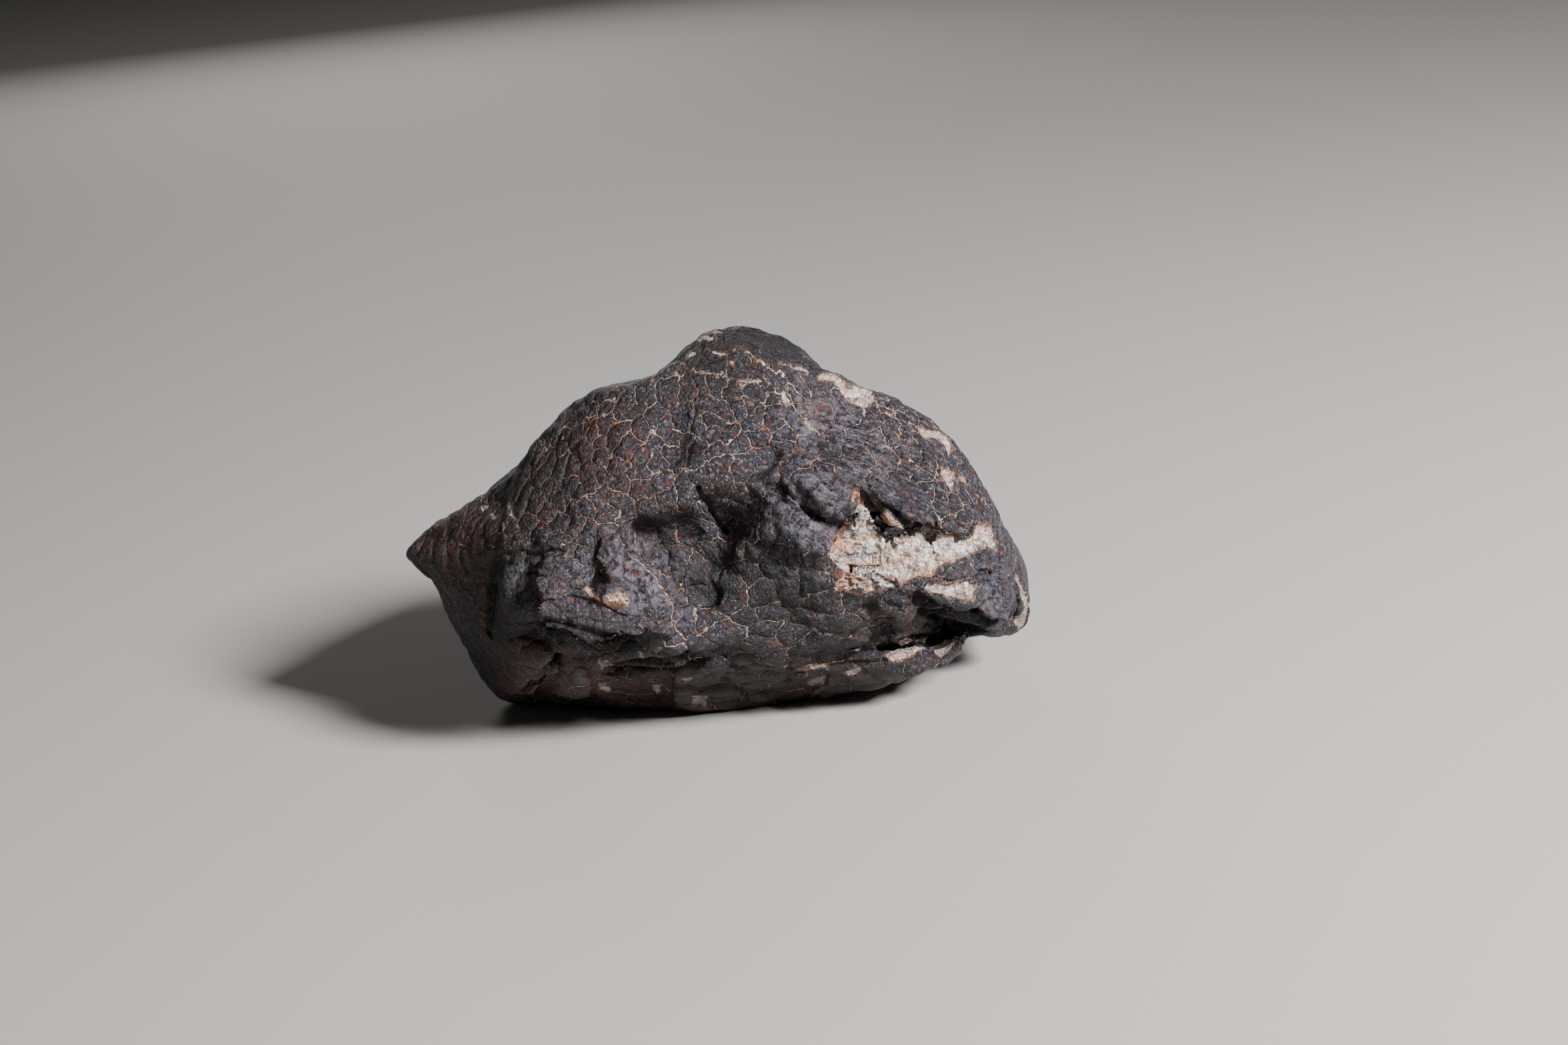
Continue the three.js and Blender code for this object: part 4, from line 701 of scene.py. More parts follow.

# Patches: strengths of the tints inside outlines of the sheet. Their dark strengths are painted
# shade. "plain" fades the chance lines of the crackle, and has no spots of its own.
PATCHES = [
    # painted shade on the dark facet left of the block
    ({"dark": 1}, [
        (-32.7, -4.3), (-31.6, -3.9), (-30.6, -4.8), (-30.3, -7.2), (-29.9, -9), (-28.8, -10.9),
        (-28, -12), (-28.8, -13.1), (-31, -13.5), (-32.9, -13.3), (-33.4, -11.6), (-33.4, -8.7),
        (-33.2, -6),
    ]),
    # painted shade in the slot low under the block
    ({"dark": 0.9}, [
        (-20.2, -15.4), (-16.1, -15.6), (-12.2, -15.2), (-12.2, -16.6), (-16.1, -17.1),
        (-19.5, -18), (-20.2, -16.9),
    ]),
    # the shade under the block
    ({"dark": 0.8}, [
        (-26.9, -10.9), (-22.8, -12), (-17.6, -12.8), (-13.1, -12.8), (-12.4, -14.2), (-16.1, -15),
        (-20.6, -14.2), (-24.3, -13.5), (-26.9, -12.4),
    ]),
    # painted shade on the left foot
    ({"dark": 0.7}, [
        (-32.9, -13.5), (-29.9, -12.8), (-29.5, -16.1), (-30.6, -19.5), (-32.1, -19.1),
        (-34, -16.1),
    ]),
    # painted shade in the cave under the lobe
    ({"dark": 1}, [
        (14.6, -7.8), (16.7, -8.4), (18.9, -9.2), (21.2, -9.6), (22.8, -10.3), (23.9, -11),
        (23, -12.2), (19.7, -12.8), (17.6, -12.1), (15.6, -10),
    ]),
    # painted shade in the slot over the low ledge
    ({"dark": 0.9}, [
        (10.6, -13.6), (12.6, -13.2), (14.6, -12.8), (16.7, -12.6), (19.7, -12.2), (19.7, -12.8),
        (16.3, -13.7), (14.1, -13.6), (12.6, -14), (10.7, -14.5),
    ]),
    # the brown face over it
    ({"brown": 0.8}, [
        (12.1, -8.7), (14.5, -9.2), (16.7, -10.9), (17.7, -12.1), (14.5, -12.5), (11.9, -12),
    ]),
    # the foot of the front: painted shade, with rust and brown
    ({"dark": 1, "rusty": 0.6, "brown": 0.7}, [
        (-12.2, -16.5), (-5.7, -16.5), (1.8, -15.7), (9.2, -15), (11.9, -16.5), (11.5, -18),
        (4, -20.6), (-8.7, -22.4), (-12.4, -22.1),
    ]),
    # painted shade on the hump behind the peak
    ({"dark": 0.6}, [
        (-4.3, 22.8), (-1.2, 22.8), (1.8, 21.2), (3.9, 18.6), (4.2, 16.6), (1, 17), (-1.9, 18.9),
        (-4.2, 20.8),
    ]),
    # painted shade on the right rim
    ({"dark": 0.7}, [
        (25.7, -4.9), (28.6, -5.7), (29, -13.1), (26.4, -13.1), (25.1, -11.3), (25.8, -8.7),
    ]),
    # the low front on the left: painted shade, with rust
    ({"dark": 0.5, "rusty": 0.5}, [
        (-32.9, -13.5), (-28, -13.1), (-20.6, -15), (-12.4, -15.4), (-12.2, -20.6), (-20.6, -20.6),
        (-28, -20.6), (-32.1, -18.3),
    ]),
    # painted shade in the narrow hollow in the middle
    ({"dark": 0.3}, [
        (-7.3, 0.7), (-5.4, 0.7), (-4.9, -3.4), (-4.8, -7.2), (-6, -7.2), (-7.2, -4.9),
        (-7.3, -1.9),
    ]),
    # painted shade in a crack in the matrix
    ({"dark": 0.7}, [
        (6.7, -3.2), (8.5, -3.1), (10.6, -2.8), (11.8, -2.8), (12.1, -3.4), (10.7, -3.7),
        (8.5, -4.2), (7, -3.9),
    ]),
    # painted shade in another crack in the matrix
    ({"dark": 0.5}, [
        (6.9, -4.6), (9.2, -5.4), (11.1, -6.1), (12.8, -7), (12.2, -7.3), (10.4, -6.6), (8.5, -5.7),
    ]),
    # the shade under the lobe's edge
    ({"dark": 0.6}, [
        (10.6, 2), (11.9, 1.4), (13, 0.3), (14.2, -1), (14.9, -0.6), (14, 0.9), (12.8, 2),
        (11.3, 2.7),
    ]),
    # painted shade in a dent in the matrix
    ({"dark": 0.5}, [
        (12.6, -4), (14.1, -4.3), (15.6, -5.1), (15.1, -5.7), (13.3, -5.1),
    ]),
    # painted shade where the left foot meets the ground
    ({"dark": 1}, [
        (-27.7, -19.7), (-23.4, -19.1), (-18.3, -20), (-18.3, -22.1), (-28, -21.3),
    ]),
    # faces with few lines: the tongue
    ({"plain": 0.9}, [
        (-20.8, -1.2), (-18.7, -0.8), (-17.2, -2.1), (-15, -5.3), (-13.1, -7.9), (-12.4, -10.1),
        (-12.5, -12.4), (-14.2, -12.4), (-16.9, -10.9), (-18, -8.7), (-19.5, -6.4), (-20.6, -3.8),
    ]),
    # the block
    ({"plain": 0.75}, [
        (-26.9, -3.6), (-21, -2.8), (-20.2, -4.2), (-20.6, -7.2), (-18.3, -9.8), (-16.9, -12.4),
        (-21.3, -13.1), (-25.8, -12), (-28, -10.9), (-28.4, -4.9),
    ]),
    # the dark facet
    ({"plain": 0.85}, [
        (-33.4, -4), (-28, -4.2), (-26.9, -10.9), (-28.8, -13.5), (-32.9, -13.5),
    ]),
    # the lump
    ({"plain": 0.8}, [
        (0, 5.4), (4.8, 6.1), (8.3, 4.4), (8.1, 1.4), (6.4, -1), (4.8, 0.3), (1.4, 1.6), (0, 2.9),
    ]),
    # the bulge
    ({"plain": 0.6}, [
        (-3.4, 2.4), (0.3, 2.4), (4.8, 0.3), (6, -1.2), (5.5, -3.4), (1.8, -3.6), (-3.4, -2.1),
    ]),
    # the lobe
    ({"plain": 0.8}, [
        (9.2, 4.9), (13, 5.1), (16, 3.3), (16.1, -0.8), (14.1, -1), (12.2, 1.4), (9.2, 2.9),
    ]),
    # the end of the right lobe
    ({"plain": 0.8}, [
        (21.6, -6.3), (25.1, -6.3), (26.4, -9), (24.2, -11.3), (21.6, -9.5),
    ]),
    # the hump
    ({"plain": 0.9}, [
        (-7.5, 21.8), (-5.7, 22.4), (1.8, 21.2), (4.2, 17.4), (1, 17.6), (-1.9, 18.6), (-4.9, 20.4),
    ]),
    # the peak
    ({"plain": 0.75}, [
        (-11.3, 18.6), (-9.8, 20.8), (-8.3, 21.6), (-4.9, 20.8), (-3.4, 18.6), (-5.3, 17.3),
        (-8.7, 17), (-10.9, 17.3),
    ]),
    # the left wing
    ({"plain": 0.8}, [
        (-40, -1.2), (-32.9, 1.8), (-33.1, -4.9), (-33.4, -13.1), (-31, -20.6), (-35.5, -19.1),
        (-40, -7.2),
    ]),
    # rust beside the dark facet
    ({"rusty": 1}, [
        (-33.7, -4.5), (-33, -4.4), (-33, -12.8), (-33.7, -13.1), (-33.9, -8.7),
    ]),
    # at the left edge of the matrix
    ({"rusty": 1}, [
        (5.3, -1.6), (6.9, -1.2), (7.4, -3.1), (6.4, -3.6), (5.3, -3.4),
    ]),
    # at its lower corner
    ({"rusty": 1}, [
        (5.7, -4.9), (7.4, -4.9), (9.2, -6), (10.4, -7.5), (8.5, -8.1), (6.4, -7.6), (5.7, -6.8),
    ]),
    # beside its lower tongue
    ({"rusty": 0.9}, [
        (14.5, -4.9), (16.7, -4.6), (17.1, -6.3), (15.2, -6.1),
    ]),
    # over the fissure
    ({"rusty": 1}, [
        (7.8, 3.7), (8.5, 3.8), (9.2, 2.4), (8.1, 2), (7.6, 2.7),
    ]),
    # on the broken face in the fissure
    ({"rusty": 0.8}, [
        (10.6, 1.5), (11.6, 1.3), (12.8, 0.1), (13.9, -1), (11.9, -1.1), (10.7, -0.1),
    ]),
    # in the middle of the matrix
    ({"rusty": 0.8}, [
        (17.7, -3.3), (19.4, -3.1), (19.1, -4.3), (17.8, -4.5),
    ]),
    # the hollow: painted shade, and brown
    ({"dark": 0.55, "brown": 0.7}, [
        (-18.7, -1.2), (-17.4, -2.1), (-16.1, -3.6), (-14.9, -5.3), (-13.9, -6.9), (-12.8, -8.2),
        (-12.1, -9.8), (-10.5, -9.5), (-9.2, -7.9), (-8.5, -5.7), (-9.2, -2.7), (-10.7, -1.2),
        (-13.1, -0.1), (-16.1, -0.1),
    ]),
    # the shaded side of the tongue
    ({"dark": 0.6}, [
        (-20.9, -4), (-20, -4.9), (-18.6, -6.6), (-19.1, -7.5), (-20.6, -7.5), (-21.5, -6.9),
        (-21.2, -5.7),
    ]),
    # round the block's chip
    ({"rusty": 0.8}, [
        (-21.7, -7.8), (-20.2, -8.4), (-18, -8.1), (-17.6, -10.1), (-19.5, -9.5), (-21.5, -8.8),
    ]),
]

# ------------------------------------------------------------------ numbers of the layout
SEED = 11
FRONT_EDGE = 0.58  # longest triangle side on the front, mm
BACK_EDGE = 1.4  # and on the back, mm
KEEN_EDGE = 0.255  # and along the plates, cracks and breaks, mm
KEEN_REACH = 0.12  # how far from them that keeps up, mm
FACE_LIMIT = 190000  # triangles past which no round of splitting starts

FAR = 9.0  # stands for any distance on the sheet that is too long to matter, mm
LATTICE = 32  # cells along each side of the noise's table of numbers
CELL_HIGH = 1.9  # distance between the crackle's cell middles high on the stone, mm
CELL_MORE = 1.5  # and how much more low down, mm
TRIES = 26000  # places that are tried for the middles of the cells
BATCHES = 90  # in which they are tried
SLICE = 12000  # rows of distances worked out at a time, which keeps them small in memory

VEIN_STEP = 1.6  # between the pairs of cells along a vein, mm
VEIN_WIDTH = 0.055  # half of a vein's usual width, mm
VEIN_SIDE = 0.46  # how far each seed of a pair stands from its vein, in cell spacings
VEIN_REUSE = 0.72  # a seed nearer than this to its place serves again, in spacings
VEIN_CROWD = 0.66  # and a new one stands no nearer than this to any other
VEIN_SLIP = 0.3  # how far a pair's middle may lie from the vein, in spacings

UNEVEN = 0.2  # soft waves of the crust, 4.5 mm long, mm
BUMPY = 0.05  # and short ones, 0.7 mm long, mm
LEDGES = 0.5  # of a break's depth: level ledges in the bare stone
GRAINS = 0.75  # and its grains
BREAK_EDGE = (-0.12, 0.22)  # the step down into a break, from its outline inward, mm
PATCH_EDGE = (-0.35, 0.25)  # where a patch of tint begins and is full, mm

# Noises that bend the marks: the size, the furthest reach, both in mm, and the seed of each.
BENDS = {
    "cracks": ((1.6, 0.12, 61), (0.6, 0.06, 64)),
    "plates": ((2.2, 0.22, 35), (0.7, 0.1, 38)),
    "breaks": ((0.8, 0.22, 31),),
    "crackle": ((3.2, 0.55, 21), (0.9, 0.16, 24)),
}


# ------------------------------------------------------------------ rows of points
OCTAVE_TURN = np.array(Euler((0.6, 0.9, 0.4)).to_matrix())  # keeps the lattices apart


def unit(rows):
    """Each row divided by its length."""
    return rows / np.maximum(np.linalg.norm(rows, axis=-1, keepdims=True), 1e-12)


def dot(a, b):
    """Row by row product of two arrays of vectors."""
    return np.einsum("...i,...i->...", a, b)


def smooth(value, low, high):
    """0 below low, 1 above high, 3t^2 - 2t^3 between."""
    t = np.clip((value - low) / (high - low), 0, 1)
    return t * t * (3 - 2 * t)


def fade(distance):
    """2 to the power of minus the distance's square: half at 1, next to nothing at 2.5."""
    return np.exp2(-distance * distance)


def noise(points, size, seed):
    """Value noise from -1 to 1: seeded random numbers on a cubic lattice of the given size,
    blended between the eight corners round each point by 3t^2 - 2t^3."""
    table = np.random.default_rng(seed).uniform(-1, 1, (LATTICE,) * 3)
    place = points / size + 7.31 * (seed % 5)
    cell = np.floor(place).astype(int)
    t = smooth(place - cell, 0, 1)
    total = np.zeros(len(points))
    for corner in product((0, 1), repeat=3):
        share = np.prod(np.where(corner, t, 1 - t), axis=1)
        i, j, k = ((cell + corner) % LATTICE).T
        total += share * table[i, j, k]
    return total


def rough(points, size, seed, octaves=3):
    """Noise upon noise: each octave is half as large and 0.55 times as strong."""
    turned = points.copy()
    total = np.zeros(len(points))
    for octave in range(octaves):
        total += 0.55**octave * noise(turned, size * 0.5**octave, seed + octave)
        turned = turned @ OCTAVE_TURN
    return total


def bent_for(marks, points):
    """Points moved by up to each bend's reach in every direction, by three noises each."""
    for size, reach, seed in BENDS[marks]:
        moves = [noise(points, size, seed + k) for k in range(3)]
        points = points + reach * np.stack(moves, 1)
    return points


# ------------------------------------------------------------------ the mesh as arrays
def merged_copy(node):
    """The frame mesh's points in mm, with equal ones made one, and its triangles."""
    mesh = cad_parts[node].data
    loose = np.zeros(len(mesh.vertices) * 3)
    mesh.vertices.foreach_get("co", loose)
    corners = np.zeros(len(mesh.loops), int)
    mesh.loops.foreach_get("vertex_index", corners)
    loose = loose.reshape(-1, 3) / MM
    _, first, same = np.unique(
        np.round(loose, 4), axis=0, return_index=True, return_inverse=True
    )
    return loose[first], same.reshape(-1)[corners].reshape(-1, 3)


def point_normals(points, triangles):
    """Sum of the normals of the triangles round each point, weighted by area."""
    a, b, c = (points[triangles[:, k]] for k in range(3))
    normal = np.cross(b - a, c - a)
    total = [
        np.bincount(triangles.ravel(), np.repeat(normal[:, k], 3), len(points)) for k in range(3)
    ]
    return unit(np.stack(total, 1))


def curved_middle(p, q, normal_p, normal_q):
    """The middle of p and q, lifted to the curve that meets both normals at right angles:
    the half sum, less an eighth of each normal times the other end's height over it."""
    rise_p = dot(q - p, normal_p)[:, None] * normal_p
    rise_q = dot(p - q, normal_q)[:, None] * normal_q
    return (p + q) / 2 - (rise_p + rise_q) / 8


def split_sides(points, triangles, wanted):
    """One round of refinement: each side longer than wanted at its ends gets a curved middle
    point, and each triangle is cut into two, three or four by the sides that were split."""
    count = len(points)
    start = triangles.ravel()
    end = np.roll(triangles, -1, axis=1).ravel()
    keys = np.minimum(start, end) * count + np.maximum(start, end)
    sides, side_of = np.unique(keys, return_inverse=True)
    a, b = sides // count, sides % count
    long = np.linalg.norm(points[a] - points[b], axis=1) > (wanted[a] + wanted[b]) / 2
    a, b = a[long], b[long]
    normals = point_normals(points, triangles)
    middles = curved_middle(points[a], points[b], normals[a], normals[b])
    number = np.full(len(sides), -1)
    number[long] = count + np.arange(len(a))
    middle = number[side_of].reshape(-1, 3)
    cut = middle >= 0
    cuts = cut.sum(1)
    # turn each triangle so that its first sides are the split ones
    turn = np.where(cuts == 1, cut.argmax(1), np.where(cuts == 2, (~cut).argmax(1) + 1, 0))
    order = (turn[:, None] + np.arange(3)) % 3
    p, q, r = np.take_along_axis(triangles, order, 1).T
    m, n, o = np.take_along_axis(middle, order, 1).T
    one, two, three = (cuts == k for k in (1, 2, 3))
    parts = [triangles[cuts == 0]]
    for which, rows in (
        (one, ((p, m, r), (m, q, r))),
        (two, ((m, q, n), (p, m, n), (p, n, r))),
        (three, ((p, m, o), (m, q, n), (o, n, r), (m, n, o))),
    ):
        parts += [np.stack([column[which] for column in row], 1) for row in rows]
    return np.concatenate([points, middles]), np.concatenate(parts)


def refined(points, triangles, wanted_at, rounds=5):
    """Rounds of splitting until no side is longer than wanted_at gives for its place."""
    for _ in range(rounds):
        before = len(points)
        points, triangles = split_sides(points, triangles, wanted_at(points))
        if len(points) == before or len(triangles) > FACE_LIMIT:
            break
    return points, triangles


def push_boss(points, at, radius, push):
    """Moves a round place along push, half as far one radius from its middle."""
    away = np.linalg.norm(points - (np.array(at) - MIDDLE), axis=1)
    return points + fade(away / radius)[:, None] * np.array(push)


# ------------------------------------------------------------------ the sheet
def on_sheet(points):
    """Where the line of sight to each point meets the sheet: mm right and mm above its centre."""
    away = points - EYE
    ahead = np.array((0, math.cos(EYE_PITCH), -math.sin(EYE_PITCH)))
    above = np.array((0, math.sin(EYE_PITCH), math.cos(EYE_PITCH)))
    depth = away @ ahead
    x, y = away[:, 0], -(away @ above)
    c, s = math.cos(EYE_ROLL), math.sin(EYE_ROLL)
    return SHEET_AWAY * np.stack([c * x - s * y, -(s * x + c * y)], 1) / depth[:, None]


def facing(points, normals):
    """The cosine between each outward normal and the way back to the viewing point."""
    return dot(normals, unit(EYE - points))


def inside_outline(places, outline):
    """How far inside a closed outline each place of the sheet lies, in mm: negative outside,
    and minus FAR from 2 mm away. Inside means that a ray to the right crosses the outline an
    odd number of times."""
    ring = np.array(outline, float)
    near = ((places > ring.min(0) - 2) & (places < ring.max(0) + 2)).all(1)
    spots = places[near]
    closest = np.full(len(spots), np.inf)
    inside = np.zeros(len(spots), bool)
    for (x0, y0), (x1, y1) in zip(ring, np.roll(ring, -1, axis=0)):
        along = np.array((x1 - x0, y1 - y0))
        share = np.clip((spots - (x0, y0)) @ along / (along @ along), 0, 1)
        away = spots - (x0, y0) - share[:, None] * along
        closest = np.minimum(closest, np.linalg.norm(away, axis=1))
        spans = (spots[:, 1] > y0) != (spots[:, 1] > y1)
        rise = (y1 - y0) if y1 != y0 else 1.0
        inside ^= spans & (spots[:, 0] < (spots[:, 1] - y0) * (x1 - x0) / rise + x0)
    found = np.full(len(places), -FAR)
    found[near] = np.where(inside, closest, -closest)
    return found


def beside_line(places, path):
    """How far each place of the sheet lies from a path, in mm, and FAR from 3 mm away."""
    path = np.array(path, float)
    near = ((places > path.min(0) - 3) & (places < path.max(0) + 3)).all(1)
    spots = places[near]
    closest = np.full(len(spots), FAR)
    for start, end in zip(path[:-1], path[1:]):
        along = end - start
        share = np.clip((spots - start) @ along / (along @ along), 0, 1)
        away = np.linalg.norm(spots - start - share[:, None] * along, axis=1)
        closest = np.minimum(closest, away)
    found = np.full(len(places), FAR)
    found[near] = closest
    return found


def crack_depth(points, normals):
    """How deep the cracks press in each point, mm: the deepest counts, and each fades across
    its path."""
    places = on_sheet(bent_for("cracks", points))
    total = np.zeros(len(points))
    for crack in CRACKS:
        pressed = crack["depth"] * fade(beside_line(places, crack["path"]) / crack["width"])
        total = np.maximum(total, pressed)
    return total * smooth(facing(points, normals), 0.0, 0.15)


def between_corners(places, ring):
    """The lift at each place inside a ring of (right, above, lift), by mean value coordinates:
    each corner counts by the tangents of half the angles at its two sides over its distance."""
    toward = ring[:, :2] - places[:, None]
    away = np.maximum(np.linalg.norm(toward, axis=2), 1e-6)
    after, away_after = np.roll(toward, -1, axis=1), np.roll(away, -1, axis=1)
    across = toward[..., 0] * after[..., 1] - toward[..., 1] * after[..., 0]
    half = across / (away * away_after + dot(toward, after) + 1e-6)
    share = (half + np.roll(half, 1, axis=1)) / away
    total = share.sum(1)
    total = np.where(np.abs(total) < 1e-6, 1e-6, total)
    return np.clip((share @ ring[:, 2]) / total, ring[:, 2].min(), ring[:, 2].max())


def plate_lift(points, normals):
    """How far all the plates together lift each point, mm."""
    places = on_sheet(bent_for("plates", points))
    seen = smooth(facing(points, normals), 0.0, 0.15)
    total = np.zeros(len(points))
    for plate in PLATES:
        ring = np.array(plate["outline"])
        low, high = ring[:, :2].min(0) - 1, ring[:, :2].max(0) + 1
        near = np.flatnonzero(((places > low) & (places < high)).all(1) & (seen > 0))
        inside = inside_outline(places[near], ring[:, :2])
        share = smooth(inside, -plate["run"] / 2, plate["run"] / 2)
        total[near] += share * between_corners(places[near], ring)
    return total * seen


def beside_marks(points):
    """How far each point lies from the nearest plate's outline, crack or break, on the sheet,
    in mm, and less than 0 inside a break or a crack."""
    places = on_sheet(points)
    closest = np.full(len(points), FAR)
    for plate in PLATES:
        ring = np.array(plate["outline"])[:, :2]
        closest = np.minimum(closest, np.abs(inside_outline(places, ring)))
    for crack in CRACKS:
        closest = np.minimum(closest, beside_line(places, crack["path"]) - crack["width"])
    for gap in BREAKS:
        closest = np.minimum(closest, -inside_outline(places, gap["outline"]))
    return closest


def inside_breaks(points, normals):
    """How far inside the nearest break each point lies, mm, and how deep that break is, mm."""
    places = on_sheet(points)
    seen = facing(points, normals) > 0.05
    inside = np.full(len(points), -FAR)
    depth = np.zeros(len(points))
    for gap in BREAKS:
        here = np.where(seen, inside_outline(places, gap["outline"]), -FAR)
        closer = here > inside
        inside = np.where(closer, here, inside)
        depth = np.where(closer, gap["depth"], depth)
    return inside, depth


def tint(name, places, seen):
    """The strongest of the tint's spots and patches at each place, where it is seen."""
    total = np.zeros(len(places))
    for x, y, radius, strength in TINTS.get(name, ()):
        away = np.linalg.norm(places - (x, y), axis=1)
        total = np.maximum(total, strength * fade(away / radius))
    for strengths, outline in PATCHES:
        if name in strengths:
            inside = inside_outline(places, outline)
            total = np.maximum(total, strengths[name] * smooth(inside, *PATCH_EDGE))
    return total * seen


# ------------------------------------------------------------------ crackle
def crackle_space(points):
    """Points as the crackle sees them: wavy, and drawn out upward low on the front, which
    makes the cells lie flat there."""
    bent = bent_for("crackle", points)
    low = np.minimum(bent[:, 2], 17.0)
    bent[:, 2] += 0.5 * low * smooth(-points[:, 1], 4, 12)
    return bent


def cell_spacing(points):
    """The wanted distance between cell middles, mm: longer from 24 mm down to 15 mm."""
    return CELL_HIGH + CELL_MORE * smooth(-points[:, 2], -24, -15)


def scatter(points, triangles, fixed, rng):
    """Seeds of the cells: after the fixed ones, random places on the surface, kept when no kept
    place is nearer than the spacing, then moved twice to the middle of the points nearest to
    them."""
    a, b, c = (points[triangles[:, k]] for k in range(3))
    area = np.linalg.norm(np.cross(b - a, c - a), axis=1)
    pick = rng.choice(len(triangles), TRIES, p=area / area.sum())
    u, v = rng.random((2, TRIES))
    u, v = np.where(u + v > 1, 1 - u, u)[:, None], np.where(u + v > 1, 1 - v, v)[:, None]
    places = a[pick] + u * (b - a)[pick] + v * (c - a)[pick]
    bent = crackle_space(places)
    spacing = cell_spacing(places)
    kept = fixed
    for batch, gap in zip(np.array_split(bent, BATCHES), np.array_split(spacing, BATCHES)):
        free = distances(batch, kept).min(1) > gap
        batch, gap = batch[free], gap[free]
        clash = np.tril(distances(batch, batch) < gap[:, None], -1).any(1)
        kept = np.concatenate([kept, batch[~clash]])
    bent = crackle_space(points)
    for _ in range(2):
        own = nearest(bent, kept, 1)[:, 0]
        count = np.maximum(np.bincount(own, minlength=len(kept)), 1)
        middle = np.stack([np.bincount(own, bent[:, k], len(kept)) for k in range(3)], 1)
        kept = np.concatenate([fixed, (middle / count[:, None])[len(fixed) :]])
    return kept


def along_vein(path, step):
    """Places along a path of the sheet, about a step apart, with both ends."""
    path = np.array(path, float)
    length = np.append(0, np.cumsum(np.linalg.norm(np.diff(path, axis=0), axis=1)))
    where = np.linspace(0, length[-1], max(2, round(length[-1] / step) + 1))
    return np.stack([np.interp(where, length, path[:, k]) for k in (0, 1)], 1)


def on_stone(places, points, normals):
    """The number of the point of the stone that is seen at each place of the sheet."""
    front = np.flatnonzero(facing(points, normals) > 0.1)
    flat = on_sheet(points[front])
    depth = 0.15 * np.linalg.norm(points[front] - EYE, axis=1)
    return front[[(np.linalg.norm(flat - place, axis=1) + depth).argmin() for place in places]]


def vein_seeds(points, normals):
    """Seeds in pairs that mirror each other across the veins, so that the border between each
    pair runs along its vein. Where a seed stands near one of the two places already, it serves
    again, and the other seed is its mirror image. Widest veins come first. Returns the seeds
    and the rows (seed, seed, width)."""
    bent = crackle_space(points)
    seeds, pairs = np.zeros((0, 3)), []
    for width, path in sorted(VEINS, key=lambda vein: -vein[0]):
        found = on_stone(along_vein(path, VEIN_STEP), points, normals)
        line = bent[found]
        heading = unit(np.gradient(line, axis=0))
        sides = unit(np.cross(normals[found], heading))
        gaps = cell_spacing(points[found])
        for middle, side, gap in zip((line[1:] + line[:-1]) / 2, sides, gaps):
            mirror = np.eye(3) - 2 * np.outer(side, side)
            reach = VEIN_SIDE * gap * side
            two = np.stack([middle + reach, middle - reach])
            numbers = [-1, -1]
            for k in (0, 1):
                if len(seeds):
                    away = np.linalg.norm(seeds - two[k], axis=1)
                    if away.min() < VEIN_REUSE * gap:
                        numbers[k] = int(away.argmin())
                        if numbers[1 - k] < 0:
                            two[1 - k] = middle + mirror @ (seeds[numbers[k]] - middle)
            for k in (0, 1):
                away = np.linalg.norm(seeds - two[k], axis=1).min(initial=np.inf)
                if numbers[k] < 0 and away > VEIN_CROWD * gap:
                    numbers[k] = len(seeds)
                    seeds = np.concatenate([seeds, two[k : k + 1]])
            if min(numbers) >= 0 and numbers[0] != numbers[1]:
                between = seeds[numbers].mean(0) - middle
                if abs(between @ side) < VEIN_SLIP * gap:
                    pairs.append((*sorted(numbers), width))
    return seeds, np.array(pairs)


def distances(rows, others):
    """All distances between two sets of points."""
    square = (rows**2).sum(1)[:, None] + (others**2).sum(1) - 2 * rows @ others.T
    return np.sqrt(np.maximum(square, 0))


def nearest(rows, seeds, count):
    """The numbers of the nearest seeds of each row, nearest first, worked out in slices."""
    found = []
    for part in np.array_split(rows, max(1, len(rows) // SLICE)):
        away = distances(part, seeds)
        few = np.argpartition(away, count, axis=1)[:, :count]
        order = np.argsort(np.take_along_axis(away, few, 1), axis=1)
        found.append(np.take_along_axis(few, order, 1))
    return np.concatenate(found)


def cell_gaps(rows, own, others):
    """How far each row lies from the plane midway between its own seed and each other seed,
    positive on its own side."""
    across = others - own
    length = np.linalg.norm(across, axis=-1)
    return -dot(rows - (others + own) / 2, across) / length


def pair_chance(a, b):
    """A number from 0 to 1 that two cells share, whichever is named first: the fraction of a
    long multiple of a sine of both their numbers."""
    low, high = np.minimum(a, b), np.maximum(a, b)
    return np.modf(np.abs(np.sin(low * 12.9898 + high * 78.233)) * 43758.5453)[0]


def border_widths(own, others, pairs, count, plain):
    """Half the width in mm, and the strength, of the line between each two cells: as drawn where
    a vein runs there, elsewhere a matter of chance and fainter on plain places."""
    keys = np.minimum(own, others) * count + np.maximum(own, others)
    chance = pair_chance(own, others)
    pair_keys = (pairs[:, 0] * count + pairs[:, 1]).astype(int)
    order = np.argsort(pair_keys)
    found = np.clip(np.searchsorted(pair_keys[order], keys), 0, len(order) - 1)
    vein = pair_keys[order][found] == keys
    width = np.where(vein, VEIN_WIDTH * pairs[order][found, 2], 0.03 + 0.05 * chance)
    strength = np.where(vein, 0.65 + 0.35 * chance, (0.12 + 0.58 * chance) * (1 - plain))
    return width, strength


# ------------------------------------------------------------------ the stone's form
def wanted_side(points):
    """The longest side allowed round each point: short along the marks on the front, longer on
    the rest of the front, longest behind."""
    front = smooth(-points[:, 1], -4, 4)
    wanted = BACK_EDGE + (FRONT_EDGE - BACK_EDGE) * front
    beside = np.where(points[:, 1] < 2, beside_marks(points), FAR)
    return np.minimum(wanted, KEEN_EDGE + 0.8 * np.maximum(beside - KEEN_REACH, 0))


